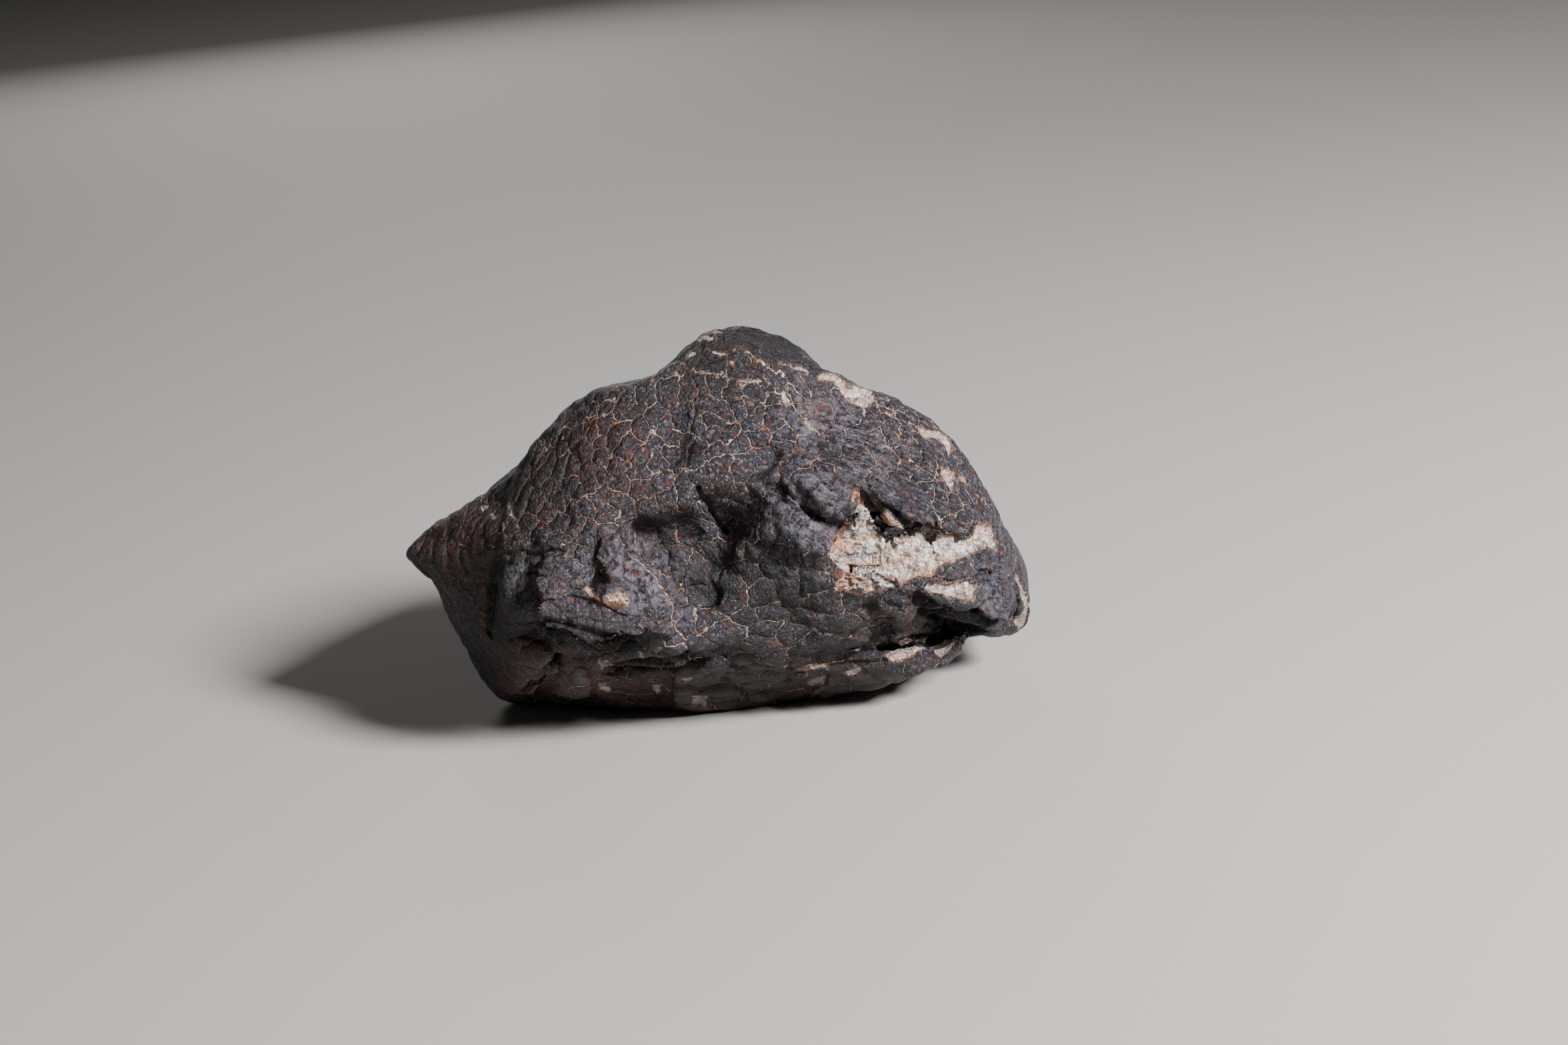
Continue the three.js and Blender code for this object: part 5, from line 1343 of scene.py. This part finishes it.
def stone_form(sizes):
    """The refined, marked and broken surface. Returns its points and triangles, the corners of
    the frame's box, how far inside a break each point lies and how deep that break is, and the
    points from before the fine relief, which the crackle is laid out on."""
    points, triangles = merged_copy(NODE)
    box = points.min(0), points.max(0)
    points, triangles = refined(points, triangles, wanted_side)
    normals = point_normals(points, triangles)
    points = points + plate_lift(points, normals)[:, None] * normals
    for boss in BOSSES:
        points = push_boss(points, **boss)
    normals = point_normals(points, triangles)
    points = points - crack_depth(points, normals)[:, None] * normals

    # the crust breaks off along a rough line and leaves a low edge all round
    normals = point_normals(points, triangles)
    inside, depth = inside_breaks(bent_for("breaks", points), normals)
    sunk = smooth(inside, *BREAK_EDGE)
    ledges = rough(points * (0.45, 0.45, 1.7), 1.1, 71, 2)
    grains = rough(points, 0.7, 75, 2)
    bare = depth * sunk * (1 + LEDGES * ledges + GRAINS * grains)

    # soft unevenness everywhere else
    uneven = UNEVEN * rough(points, 4.5, 81, 4) + BUMPY * noise(points, 0.7, 85)
    lift = (uneven * (1 - sunk) - bare) * sizes.relief
    layout = points.copy()
    points = points + lift[:, None] * normals
    return points, triangles, box, inside, depth, layout


# ------------------------------------------------------------------ mesh and attributes
def add_attribute(mesh, name, kind, domain, values):
    """Stores one array on the mesh for the material to read."""
    attribute = mesh.attributes.new(name, kind, domain)
    key = "value" if kind == "FLOAT" else "vector"
    attribute.data.foreach_set(key, np.ascontiguousarray(values, np.float32).ravel())


def make_stone(sizes):
    """The whole stone as one mesh object, with the layout of its crackle and its breaks."""
    rng = np.random.default_rng(SEED)
    points, triangles, box, inside, depth, layout = stone_form(sizes)
    normals = point_normals(layout, triangles)
    bent = crackle_space(layout)
    fixed, pairs = vein_seeds(layout, normals)
    seeds = scatter(layout, triangles, fixed, rng)

    # how far each corner lies from the three nearest cell borders, counted up toward the cell
    # with the lower number, so that it runs on evenly from triangle to triangle
    corners = bent[triangles]
    centres = corners.mean(1)
    near = nearest(centres, seeds, 7)
    own, others = seeds[near[:, :1]], seeds[near[:, 1:]]
    at_centre = cell_gaps(centres[:, None], own, others)
    pick = np.argsort(np.abs(at_centre), axis=1)[:, :3]
    chosen = np.take_along_axis(near[:, 1:], pick, 1)
    gaps = cell_gaps(corners[:, :, None], own[:, None], seeds[chosen][:, None])
    gaps *= np.where(near[:, :1] < chosen, 1, -1)[:, None]

    places = on_sheet(layout)
    seen = smooth(facing(layout, normals), 0.05, 0.2)
    plain = tint("plain", places, seen)[triangles].mean(1)[:, None]
    half_widths, strengths = border_widths(near[:, :1], chosen, pairs, len(seeds), plain)

    # each cell stands proud of the grooves round it, most on the low front; 0.6 and 0.5 of the
    # rise are taken off again, so that the stone as a whole doesn't swell
    near = nearest(bent, seeds, 5)
    own, others = seeds[near[:, :1]], seeds[near[:, 1:]]
    border = cell_gaps(bent[:, None], own, others).min(1)
    domed = smooth(-layout[:, 1], 2, 9) * smooth(-layout[:, 2], -28, -20)
    domed *= smooth(layout[:, 0], -6, 0)
    proud = sizes.groove * (1 - fade(border / 0.35) - 0.6)
    proud += sizes.dome * domed * (1 - fade(border / 1.1) - 0.5)
    proud *= 1 - smooth(inside, -0.1, 0.2)
    points = points + proud[:, None] * point_normals(points, triangles)

    mesh = bpy.data.meshes.new("crusted_stone")
    mesh.from_pydata(np.clip(points, *box) * MM, [], triangles)
    mesh.polygons.foreach_set("use_smooth", np.ones(len(triangles), bool))
    add_attribute(mesh, "crackle_gap", "FLOAT_VECTOR", "CORNER", gaps)
    for name, values in (("crackle_width", half_widths), ("crackle_strength", strengths)):
        add_attribute(mesh, name, "FLOAT_VECTOR", "CORNER", np.repeat(values[:, None], 3, axis=1))
    for name in TINTS:
        add_attribute(mesh, name, "FLOAT", "POINT", tint(name, places, seen))
    add_attribute(mesh, "inside_break", "FLOAT", "POINT", inside)
    add_attribute(mesh, "fresh", "FLOAT", "POINT", smooth(depth, 0.05, 0.25))
    add_attribute(mesh, "cell_tone", "FLOAT", "POINT", rng.random(len(seeds))[near[:, 0]])
    mesh.update()
    mesh.validate()
    skin = bpy.data.objects.new("crusted_stone", mesh)
    bpy.context.scene.collection.objects.link(skin)
    return skin


# ------------------------------------------------------------------ what a user would change
def linear(hex_colour):
    """The linear RGB values of an sRGB hex colour."""
    parts = [int(hex_colour[k : k + 2], 16) / 255 for k in (1, 3, 5)]
    return tuple(v / 12.92 if v <= 0.04045 else ((v + 0.055) / 1.055) ** 2.4 for v in parts)


def paint(name, description, hex_colour):
    """A colour that the user can change."""
    return FloatVectorProperty(
        name=name, description=description, default=linear(hex_colour), subtype="COLOR", size=3,
        min=0.0, max=1.0,
    )


class StoneSizes(bpy.types.PropertyGroup):
    """How strong the stone's relief is"""

    relief: FloatProperty(
        name="Relief", description="Share of the unevenness and of the breaks' depth",
        default=1.0, min=0.0, max=2.0, subtype="FACTOR",
    )
    groove: FloatProperty(
        name="Groove depth", description="Depth of the grooves between the crackle's cells, in mm",
        default=0.14, min=0.0, max=0.5,
    )
    dome: FloatProperty(
        name="Dome height", description="Height of the low cells' domes, in mm",
        default=0.22, min=0.0, max=1.0,
    )


class StoneFinish(bpy.types.PropertyGroup):
    """The colours and the shine of the crust and of the bare stone"""

    roughness: FloatProperty(
        name="Crust roughness", description="Roughness of the fusion crust",
        default=0.5, min=0.0, max=1.0, subtype="FACTOR",
    )
    crust_dark: paint("Dark crust", "The crust's darker clouds", "#110f13")
    crust_grey: paint("Grey crust", "The crust's lighter clouds", "#2f2b36")
    crust_blue: paint("Blue crust", "Tone of some cells of the crust", "#26273a")
    crust_brown: paint("Brown crust", "Weathered places of the crust", "#2a1d16")
    # partly glassy grains, partly painted glints: this light colour on the crust's grains and
    # specks stands in for glints
    crust_sparkle: paint("Sparkle", "Glassy grains in the crust", "#948e9b")
    crust_pit: paint("Pits", "Pits and shaded places of the crust", "#070606")
    rust: paint("Rust", "Rusty grains in the crust", "#552418")
    rust_bright: paint("Bright rust", "Fresh rust on the crust", "#7a4128")
    vein_cream: paint("Cream salts", "Paler filling of the cracks", "#d2baa6")
    vein_orange: paint("Orange salts", "Rusty filling of the cracks", "#b27a54")
    matrix_cream: paint("Cream matrix", "Lighter grains of the bare stone", "#eee2d6")
    matrix_grey: paint("Grey matrix", "Darker grains of the bare stone", "#76777c")
    matrix_rust: paint("Stained matrix", "Rusty stains on the bare stone", "#b9794c")
    matrix_dark: paint("Matrix pits", "Pits and gaps in the bare stone", "#3a2e28")
    matrix_old: paint("Old matrix", "Bare stone that has weathered", "#6b4a38")


class StageSizes(bpy.types.PropertyGroup):
    """The floor's colour and the strength of the lights"""

    floor: paint("Floor", "Colour of the floor", "#a5a29e")
    sky: paint("Surround colour", "Colour of the light from all round", "#eceae8")
    surround: FloatProperty(
        name="Surround", description="Strength of the light from all round", default=0.02,
    )
    key_power: FloatProperty(
        name="Key light", description="Power of the key light", default=11.8, unit="POWER",
    )
    fill_power: FloatProperty(
        name="Fill light", description="Power of the fill light", default=0.08, unit="POWER",
    )
    back_power: FloatProperty(
        name="Back light", description="Power of the light behind", default=1.3, unit="POWER",
    )


# ------------------------------------------------------------------ materials
SMOOTH = {"interpolation_type": "SMOOTHSTEP"}
SMOOTH_VECTOR = {"interpolation_type": "SMOOTHSTEP", "data_type": "FLOAT_VECTOR"}
TIMES = {"operation": "MULTIPLY"}
PLUS = {"operation": "MULTIPLY_ADD"}  # first times second, plus third
LARGER = {"operation": "MAXIMUM"}
COLOUR = {"data_type": "RGBA", "out": 2}


def add(tree, kind, inputs, out=0, **settings):
    """Adds a node, makes its settings, gives each input a value or a link, and returns the
    output that is asked for. Inputs are in order, or under their names or numbers."""
    node = tree.nodes.new("ShaderNode" + kind)
    for key, value in settings.items():
        setattr(node, key, value)
    for key, value in inputs.items() if isinstance(inputs, dict) else enumerate(inputs):
        if isinstance(value, bpy.types.NodeSocket):
            tree.links.new(value, node.inputs[key])
        else:
            node.inputs[key].default_value = value
    return node.outputs[out] if node.outputs else None


def largest_part(tree, vector):
    """The largest of a vector's three parts."""
    x, y, z = add(tree, "SeparateXYZ", (vector,)).node.outputs
    return add(tree, "Math", (add(tree, "Math", (x, y), **LARGER), z), **LARGER)


def weighted_sum(tree, total, *parts):
    """The total, plus each part times its weight."""
    for part, weight in parts:
        total = add(tree, "Math", (part, weight, total), **PLUS)
    return total


def lumps(tree, place, size):
    """Lumps of a size in mm: how far the nearest lump's middle is, in sizes, and three numbers
    from 0 to 1 that belong to that lump."""
    away = add(tree, "TexVoronoi", {"Vector": place, "Scale": 1 / size}, "Distance")
    chances = add(tree, "SeparateColor", (away.node.outputs["Color"],)).node.outputs
    return away, list(chances)


def clouds(tree, place, size, low, high, most=1.0, detail=3.0, roughness=0.55):
    """Clouds of a size in mm: 0 where a noise is below low, and most where it is above high."""
    inputs = {"Vector": place, "Scale": 1 / size, "Detail": detail, "Roughness": roughness}
    noise_there = add(tree, "TexNoise", inputs)
    return add(tree, "MapRange", (noise_there, low, high, 0.0, most), **SMOOTH)


def crackle(tree, mm, waver):
    """The crackle's filled lines, which waver, swell and fade out in places, and the shade that
    reaches 0.34 mm to each side of them. Every corner of the mesh tells how far it is from three
    borders, with half the width and the strength of each one's line."""
    gap, width, strength = (
        add(tree, "Attribute", {}, "Vector", attribute_name="crackle_" + name)
        for name in ("gap", "width", "strength")
    )
    away = add(tree, "VectorMath", (gap, waver), operation="ADD")
    away = add(tree, "VectorMath", (away,), operation="ABSOLUTE")
    swell = {"Vector": mm, "Scale": 1 / 0.6, "Detail": 3.0, "Roughness": 0.55}
    swell = add(tree, "MapRange", (add(tree, "TexNoise", swell), 0.3, 0.7, 0.1, 1.7))
    outer = add(tree, "VectorMath", {0: width, 3: swell}, operation="SCALE")
    inner = add(tree, "VectorMath", {0: outer, 3: 0.3}, operation="SCALE")
    drawn = add(tree, "MapRange", {6: away, 7: outer, 8: inner}, 1, **SMOOTH_VECTOR)
    drawn = add(tree, "VectorMath", (drawn, strength), **TIMES)
    here_and_there = clouds(tree, mm, 1.7, 0.32, 0.48)
    line = add(tree, "Math", (largest_part(tree, drawn), here_and_there), **TIMES)
    reach = {6: away, 7: (0.34,) * 3, 8: (0.0,) * 3}
    return line, largest_part(tree, add(tree, "MapRange", reach, 1, **SMOOTH_VECTOR))


def crust_material(finish):
    """Fusion crust on an ordinary chondrite: a skin that melted in flight, under half a mm
    thick. It gives the eye a dull, granular black to grey with glassy grains, rusty spots and
    cracks filled with pale salts. Where it is broken off, the stone under it is pale and
    sugary, with level beds and rusty stains, and not at all shiny."""
    material = bpy.data.materials.new("fusion crust on chondrite")
    material.use_nodes = True
    tree = material.node_tree
    tree.nodes.clear()

    def coats(base, *layers):
        """The base colour with named colours laid over it, each by its share."""
        base = (*getattr(finish, base), 1.0)
        for name, share in layers:
            coat = (*getattr(finish, name), 1.0)
            base = add(tree, "Mix", {0: share, 6: base, 7: coat}, **COLOUR)
        return base

    place = add(tree, "TexCoord", {}, "Object")
    mm = add(tree, "VectorMath", {0: place, 3: 1 / MM}, operation="SCALE")
    told = {
        name: add(tree, "Attribute", {}, "Fac", attribute_name=name)
        for name in (*TINTS, "cell_tone", "fresh", "inside_break")
    }
    # a wobble of up to 0.45 mm makes the lumps uneven; the streaks of the melt run to the right
    # and a little down, and the beds of the bare stone are level
    wobble = add(tree, "TexNoise", {"Vector": mm, "Scale": 2.5}, "Color")
    warped = add(tree, "VectorMath", (wobble, (0.45,) * 3, mm), **PLUS)
    run = add(tree, "CombineXYZ", [
        add(tree, "VectorMath", (warped, way), "Value", operation="DOT_PRODUCT")
        for way in ((0.22, 0.0, -0.08), (0.1, 0.8, 0.1), (0.33, 0.0, 0.94))
    ])
    level = add(tree, "VectorMath", (warped, (0.35, 0.35, 1.9)), **TIMES)
    grain_away, grain = lumps(tree, warped, 0.34)  # grains of the crust
    spot_away, spot = lumps(tree, warped, 3.4)  # places for round rusty spots
    salt_away, salt = lumps(tree, warped, 1.5)  # and for smears of salt
    stone_away, stone = lumps(tree, warped, 0.42)  # grains of the bare stone
    flow, mottle, specks, wide, soft, rubble, grit, waver, ragged = (
        add(tree, "TexNoise", {"Vector": at, "Scale": 1 / size, "Detail": fine, "Roughness": sharp})
        for at, size, fine, sharp in (
            (run, 0.45, 4.0, 0.6),
            (mm, 0.5, 6.0, 0.78),
            (mm, 0.26, 3.0, 0.75),
            (mm, 3.0, 3.0, 0.55),
            (mm, 0.75, 3.0, 0.5),
            (mm, 1.1, 5.0, 0.7),
            (mm, 0.3, 3.0, 0.55),
            (mm, 1.1, 4.0, 0.6),
            (mm, 0.55, 4.0, 0.65),
        )
    )
    line, shade = crackle(tree, mm, weighted_sum(tree, -0.75, (waver, 1.5)))

    # the crust: clouds of black and grey, then what lies on them
    streaks = add(tree, "MapRange", (flow, 0.38, 0.62, 0.0, told["streaked"]), **SMOOTH)
    broad = weighted_sum(tree, 0.0, (wide, 0.4), (mottle, 0.9), (streaks, 0.12))
    brown = clouds(tree, mm, 7.0, 0.48, 0.66, 0.6, 4.0)
    brown = add(tree, "Math", (told["brown"], brown), **LARGER)
    glints = clouds(tree, mm, 1.3, 0.42, 0.62, 0.4)
    glints = add(tree, "MapRange", (grain[0], 0.72, 0.97, 0.0, glints), **SMOOTH)
    sparks = add(tree, "MapRange", (specks, 0.56, 0.66, 0.0, 0.8), **SMOOTH)
    rusty_grains = clouds(tree, mm, 2.2, 0.45, 0.6, 0.75)
    rusty_spots = add(tree, "MapRange", (spot[0], 0.5, 0.6, 0.0, 0.8), **SMOOTH)
    salty = add(tree, "MapRange", (mottle, 0.48, 0.6, 0.0, 0.55), **SMOOTH)
    salt_size = weighted_sum(tree, salt[1], (brown, -0.35))
    salty = add(tree, "MapRange", (salt_size, 0.6, 0.5, 0.0, salty), **SMOOTH)
    painted_sheen_share = add(tree, "Math", (told["gloss"], 0.45), **TIMES)
    bright_streaks = add(tree, "Math", (told["streaked"], 0.4), **TIMES)
    crust = coats(
        "crust_dark",
        ("crust_grey", add(tree, "MapRange", (broad, 0.5, 0.78), **SMOOTH)),
        ("crust_blue", add(tree, "Math", (told["cell_tone"], 0.45), **TIMES)),
        ("crust_brown", add(tree, "Math", (brown, 0.8), **TIMES)),
        # partly glassy grains, partly painted glints: light grains and specks in the colour
        ("crust_sparkle", add(tree, "Math", (glints, sparks), **LARGER)),
        ("crust_pit", add(tree, "MapRange", (specks, 0.47, 0.38), **SMOOTH)),
        ("crust_pit", add(tree, "MapRange", (grain[1], 0.5, 0.8, 0.0, 0.7), **SMOOTH)),
        ("rust", add(tree, "MapRange", (grain[2], 0.62, 0.9, 0.0, rusty_grains), **SMOOTH)),
        ("rust", add(tree, "MapRange", (spot_away, 0.16, 0.08, 0.0, rusty_spots), **SMOOTH)),
        ("vein_orange", add(tree, "MapRange", (salt_away, 0.3, 0.12, 0.0, salty), **SMOOTH)),
        # painted sheen: the gloss places are also laid lighter in colour
        ("crust_sparkle", clouds(tree, mm, 0.9, 0.42, 0.58, painted_sheen_share, 4.0, 0.65)),
        # the melt's streaks: painted shade in their low parts and a painted highlight on their
        # raised parts
        ("crust_pit", add(tree, "MapRange", (flow, 0.5, 0.36, 0.0, told["streaked"]), **SMOOTH)),
        ("crust_sparkle",
         add(tree, "MapRange", (flow, 0.56, 0.68, 0.0, bright_streaks), **SMOOTH)),
        ("rust_bright", clouds(tree, mm, 0.8, 0.4, 0.6, told["rusty"], 4.0)),
        # painted shade: pit colour where the dark tint marks shade, and beside the crackle's lines
        ("crust_pit", add(tree, "Math", (told["dark"], 0.85), **TIMES)),
        ("crust_pit", add(tree, "Math", (shade, 0.6), **TIMES)),
    )
    warm = add(tree, "Math", (told["brown"], 0.55), **TIMES)
    warm = add(tree, "Math", (clouds(tree, mm, 1.7, 0.48, 0.66, 1.0, 2.0), warm), **LARGER)
    filling = coats("vein_cream", ("vein_orange", warm))
    filled = add(tree, "Math", (line, 0.9), **TIMES)
    crust = add(tree, "Mix", {0: filled, 6: crust, 7: filling}, **COLOUR)

    # the bare stone: cream and grey rubble, stained in level beds, old where it isn't fresh
    stained = clouds(tree, level, 1.5, 0.43, 0.57, 0.595, 4.0, 0.65)
    stained = add(tree, "MapRange", (stone[1], 0.0, 0.25, 0.0, stained), **SMOOTH)
    rusty = add(tree, "Math", (told["rusty"], 0.85), **TIMES)
    rusty = clouds(tree, mm, 0.6, 0.35, 0.55, rusty, 4.0)
    old = weighted_sum(tree, 0.75, (told["fresh"], -0.75))
    beds = clouds(tree, level, 0.8, 0.39, 0.33, 1.0, 5.0)
    pits = clouds(tree, mm, 0.5, 0.4, 0.3, 1.0, 4.0, 0.7)
    between = add(tree, "MapRange", (stone_away, 0.5, 0.8, 0.0, 0.5), **SMOOTH)
    sunk = add(tree, "Math", (add(tree, "Math", (beds, pits), **LARGER), between), **LARGER)
    bare = coats(
        "matrix_cream",
        ("matrix_grey", add(tree, "MapRange", (rubble, 0.5, 0.62), **SMOOTH)),
        ("matrix_grey", add(tree, "MapRange", (stone[0], 0.5, 0.95, 0.0, 0.7), **SMOOTH)),
        ("matrix_rust", add(tree, "Math", (stained, rusty), **LARGER)),
        ("matrix_old", clouds(tree, mm, 0.9, 0.35, 0.6, old, 4.0)),
        ("matrix_dark", add(tree, "Math", (sunk, 0.8), **TIMES)),
        # painted shade: the bare stone greyer where the dark tint marks shade
        ("matrix_grey", add(tree, "Math", (told["dark"], 0.6), **TIMES)),
    )

    # the crust ends along a ragged line, with a rusty rim beside the fresh breaks
    ragged = weighted_sum(tree, -0.468, (ragged, 0.9), (told["inside_break"], 1.0))
    shown = add(tree, "MapRange", (ragged, -0.03, 0.05), **SMOOTH)
    rim = add(tree, "Math", (told["fresh"], 0.45), **TIMES)
    rim = clouds(tree, mm, 0.7, 0.4, 0.6, rim)
    rim = add(tree, "MapRange", (ragged, -0.3, -0.04, 0.0, rim), **SMOOTH)
    orange = (*finish.vein_orange, 1.0)
    crust = add(tree, "Mix", {0: rim, 6: crust, 7: orange}, **COLOUR)
    colour = add(tree, "Mix", {0: shown, 6: crust, 7: bare}, **COLOUR)

    # height in mm, which is bump alone: all of it is finer than the mesh
    skin = weighted_sum(
        tree, 0.0, (soft, 0.22), (grain_away, -0.11), (mottle, 0.25), (streaks, 0.14), (shade, -0.1)
    )
    broken = weighted_sum(
        tree, 0.0, (rubble, 0.7), (grit, 0.2), (stone_away, -0.2), (sunk, -0.15)
    )
    height = weighted_sum(tree, skin, (broken, shown))
    bump = add(tree, "Bump", {"Height": height, "Distance": MM, "Strength": 1.0})

    # dull, with glassy grains here and there and a smoother skin on the melted places
    glassy = clouds(tree, mm, 0.35, 0.42, 0.6, 0.22, 3.0, 0.7)
    shine = weighted_sum(tree, finish.roughness, (glassy, -1.0), (told["gloss"], -0.14))
    rough_places = add(tree, "Math", (shown, line), **LARGER)
    shader = add(tree, "BsdfPrincipled", {
        "Base Color": colour,
        "Roughness": add(tree, "Mix", {0: rough_places, 2: shine, 3: 0.9}),
        "Normal": bump,
        "IOR": 1.5,
        "Specular IOR Level": 0.4,
    })
    add(tree, "OutputMaterial", {"Surface": shader})
    return material


def plain_material(name, colour, roughness):
    """Painted board: one even colour, without shine."""
    material = bpy.data.materials.new(name)
    material.use_nodes = True
    shader = material.node_tree.nodes["Principled BSDF"]
    shader.inputs["Base Color"].default_value = (*colour, 1.0)
    shader.inputs["Roughness"].default_value = roughness
    return material


# ------------------------------------------------------------------ operators
FLOOR_HALF = 4.0  # half the floor's side, m
BOARD_ROUGHNESS = 0.8
LAMPS = (  # the setting with its power, its side in m, and its place in m
    ("key", 0.12, (0.38, -0.29, 0.34)),
    ("fill", 0.5, (-0.45, -0.35, 0.30)),
    ("back", 0.3, (-0.15, 0.70, 0.30)),
)
LAMP_AIM = Vector((0, 0, 0.02))  # where they all point, m


class METEORITE_OT_stage(bpy.types.Operator):
    """Makes the camera, the floor and the lights"""

    bl_idname = "meteorite.stage"
    bl_label = "Make the stage"

    def execute(self, context):
        sizes = context.scene.meteorite_stage
        camera = bpy.data.cameras.new("camera")
        camera.sensor_width = SENSOR
        camera.lens = LENS
        camera.clip_start = 0.01
        holder = bpy.data.objects.new("camera", camera)
        # looks along +Y, dips by the pitch, then leans about its own line of sight
        turn = Euler((math.pi / 2 - EYE_PITCH, 0, 0)).to_matrix()
        holder.rotation_euler = (turn @ Euler((0, 0, EYE_ROLL)).to_matrix()).to_euler()
        holder.location = Vector(EYE * MM)
        context.scene.collection.objects.link(holder)
        context.scene.camera = holder

        mesh = bpy.data.meshes.new("floor")
        half = FLOOR_HALF
        mesh.from_pydata(
            [(-half, -half, 0), (half, -half, 0), (half, half, 0), (-half, half, 0)], [],
            [(0, 1, 2, 3)],
        )
        floor = bpy.data.objects.new("floor", mesh)
        mesh.materials.append(plain_material("matt white board", sizes.floor, BOARD_ROUGHNESS))
        context.scene.collection.objects.link(floor)

        world = bpy.data.worlds.new("surround")
        world.use_nodes = True
        back = world.node_tree.nodes["Background"]
        back.inputs["Color"].default_value = (*sizes.sky, 1.0)
        back.inputs["Strength"].default_value = sizes.surround
        context.scene.world = world

        for name, side, place in LAMPS:
            light = bpy.data.lights.new(name + " light", "AREA")
            light.energy = getattr(sizes, name + "_power")
            light.size = side
            lamp = bpy.data.objects.new(name + " light", light)
            lamp.location = place
            aim = LAMP_AIM - lamp.location
            lamp.rotation_euler = aim.to_track_quat("-Z", "Y").to_euler()
            context.scene.collection.objects.link(lamp)
        return {"FINISHED"}


class METEORITE_OT_stone(bpy.types.Operator):
    """Makes the stone from the frame's mesh and gives it its crust"""

    bl_idname = "meteorite.stone"
    bl_label = "Make the stone"

    def execute(self, context):
        skin = make_stone(context.scene.meteorite_sizes)
        skin.data.materials.append(crust_material(context.scene.meteorite_finish))
        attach(skin, "root")
        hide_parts(NODE)
        return {"FINISHED"}


class METEORITE_PT_panel(bpy.types.Panel):
    """Lists the stone's and the stage's settings and makers"""

    bl_idname = "METEORITE_PT_panel"
    bl_label = "Chondrite meteorite"
    bl_space_type = "VIEW_3D"
    bl_region_type = "UI"
    bl_category = "Meteorite"

    def draw(self, context):
        for group, operator in (
            (context.scene.meteorite_sizes, "meteorite.stone"),
            (context.scene.meteorite_finish, None),
            (context.scene.meteorite_stage, "meteorite.stage"),
        ):
            column = self.layout.column()
            for key in group.__annotations__:
                column.prop(group, key)
            if operator:
                column.operator(operator)


CLASSES = (
    StoneSizes, StoneFinish, StageSizes, METEORITE_OT_stage, METEORITE_OT_stone,
    METEORITE_PT_panel,
)
GROUPS = {
    "meteorite_sizes": StoneSizes,
    "meteorite_finish": StoneFinish,
    "meteorite_stage": StageSizes,
}


def register():
    """Makes the settings, the makers and the panel known to Blender."""
    for one in CLASSES:
        bpy.utils.register_class(one)
    for name, group in GROUPS.items():
        setattr(bpy.types.Scene, name, PointerProperty(type=group))


def unregister():
    """Takes them out again."""
    for name in GROUPS:
        delattr(bpy.types.Scene, name)
    for one in reversed(CLASSES):
        bpy.utils.unregister_class(one)


def main():
    """Registers everything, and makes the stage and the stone."""
    register()
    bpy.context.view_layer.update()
    bpy.ops.meteorite.stage()
    bpy.ops.meteorite.stone()


if __name__ == "__main__":
    main()
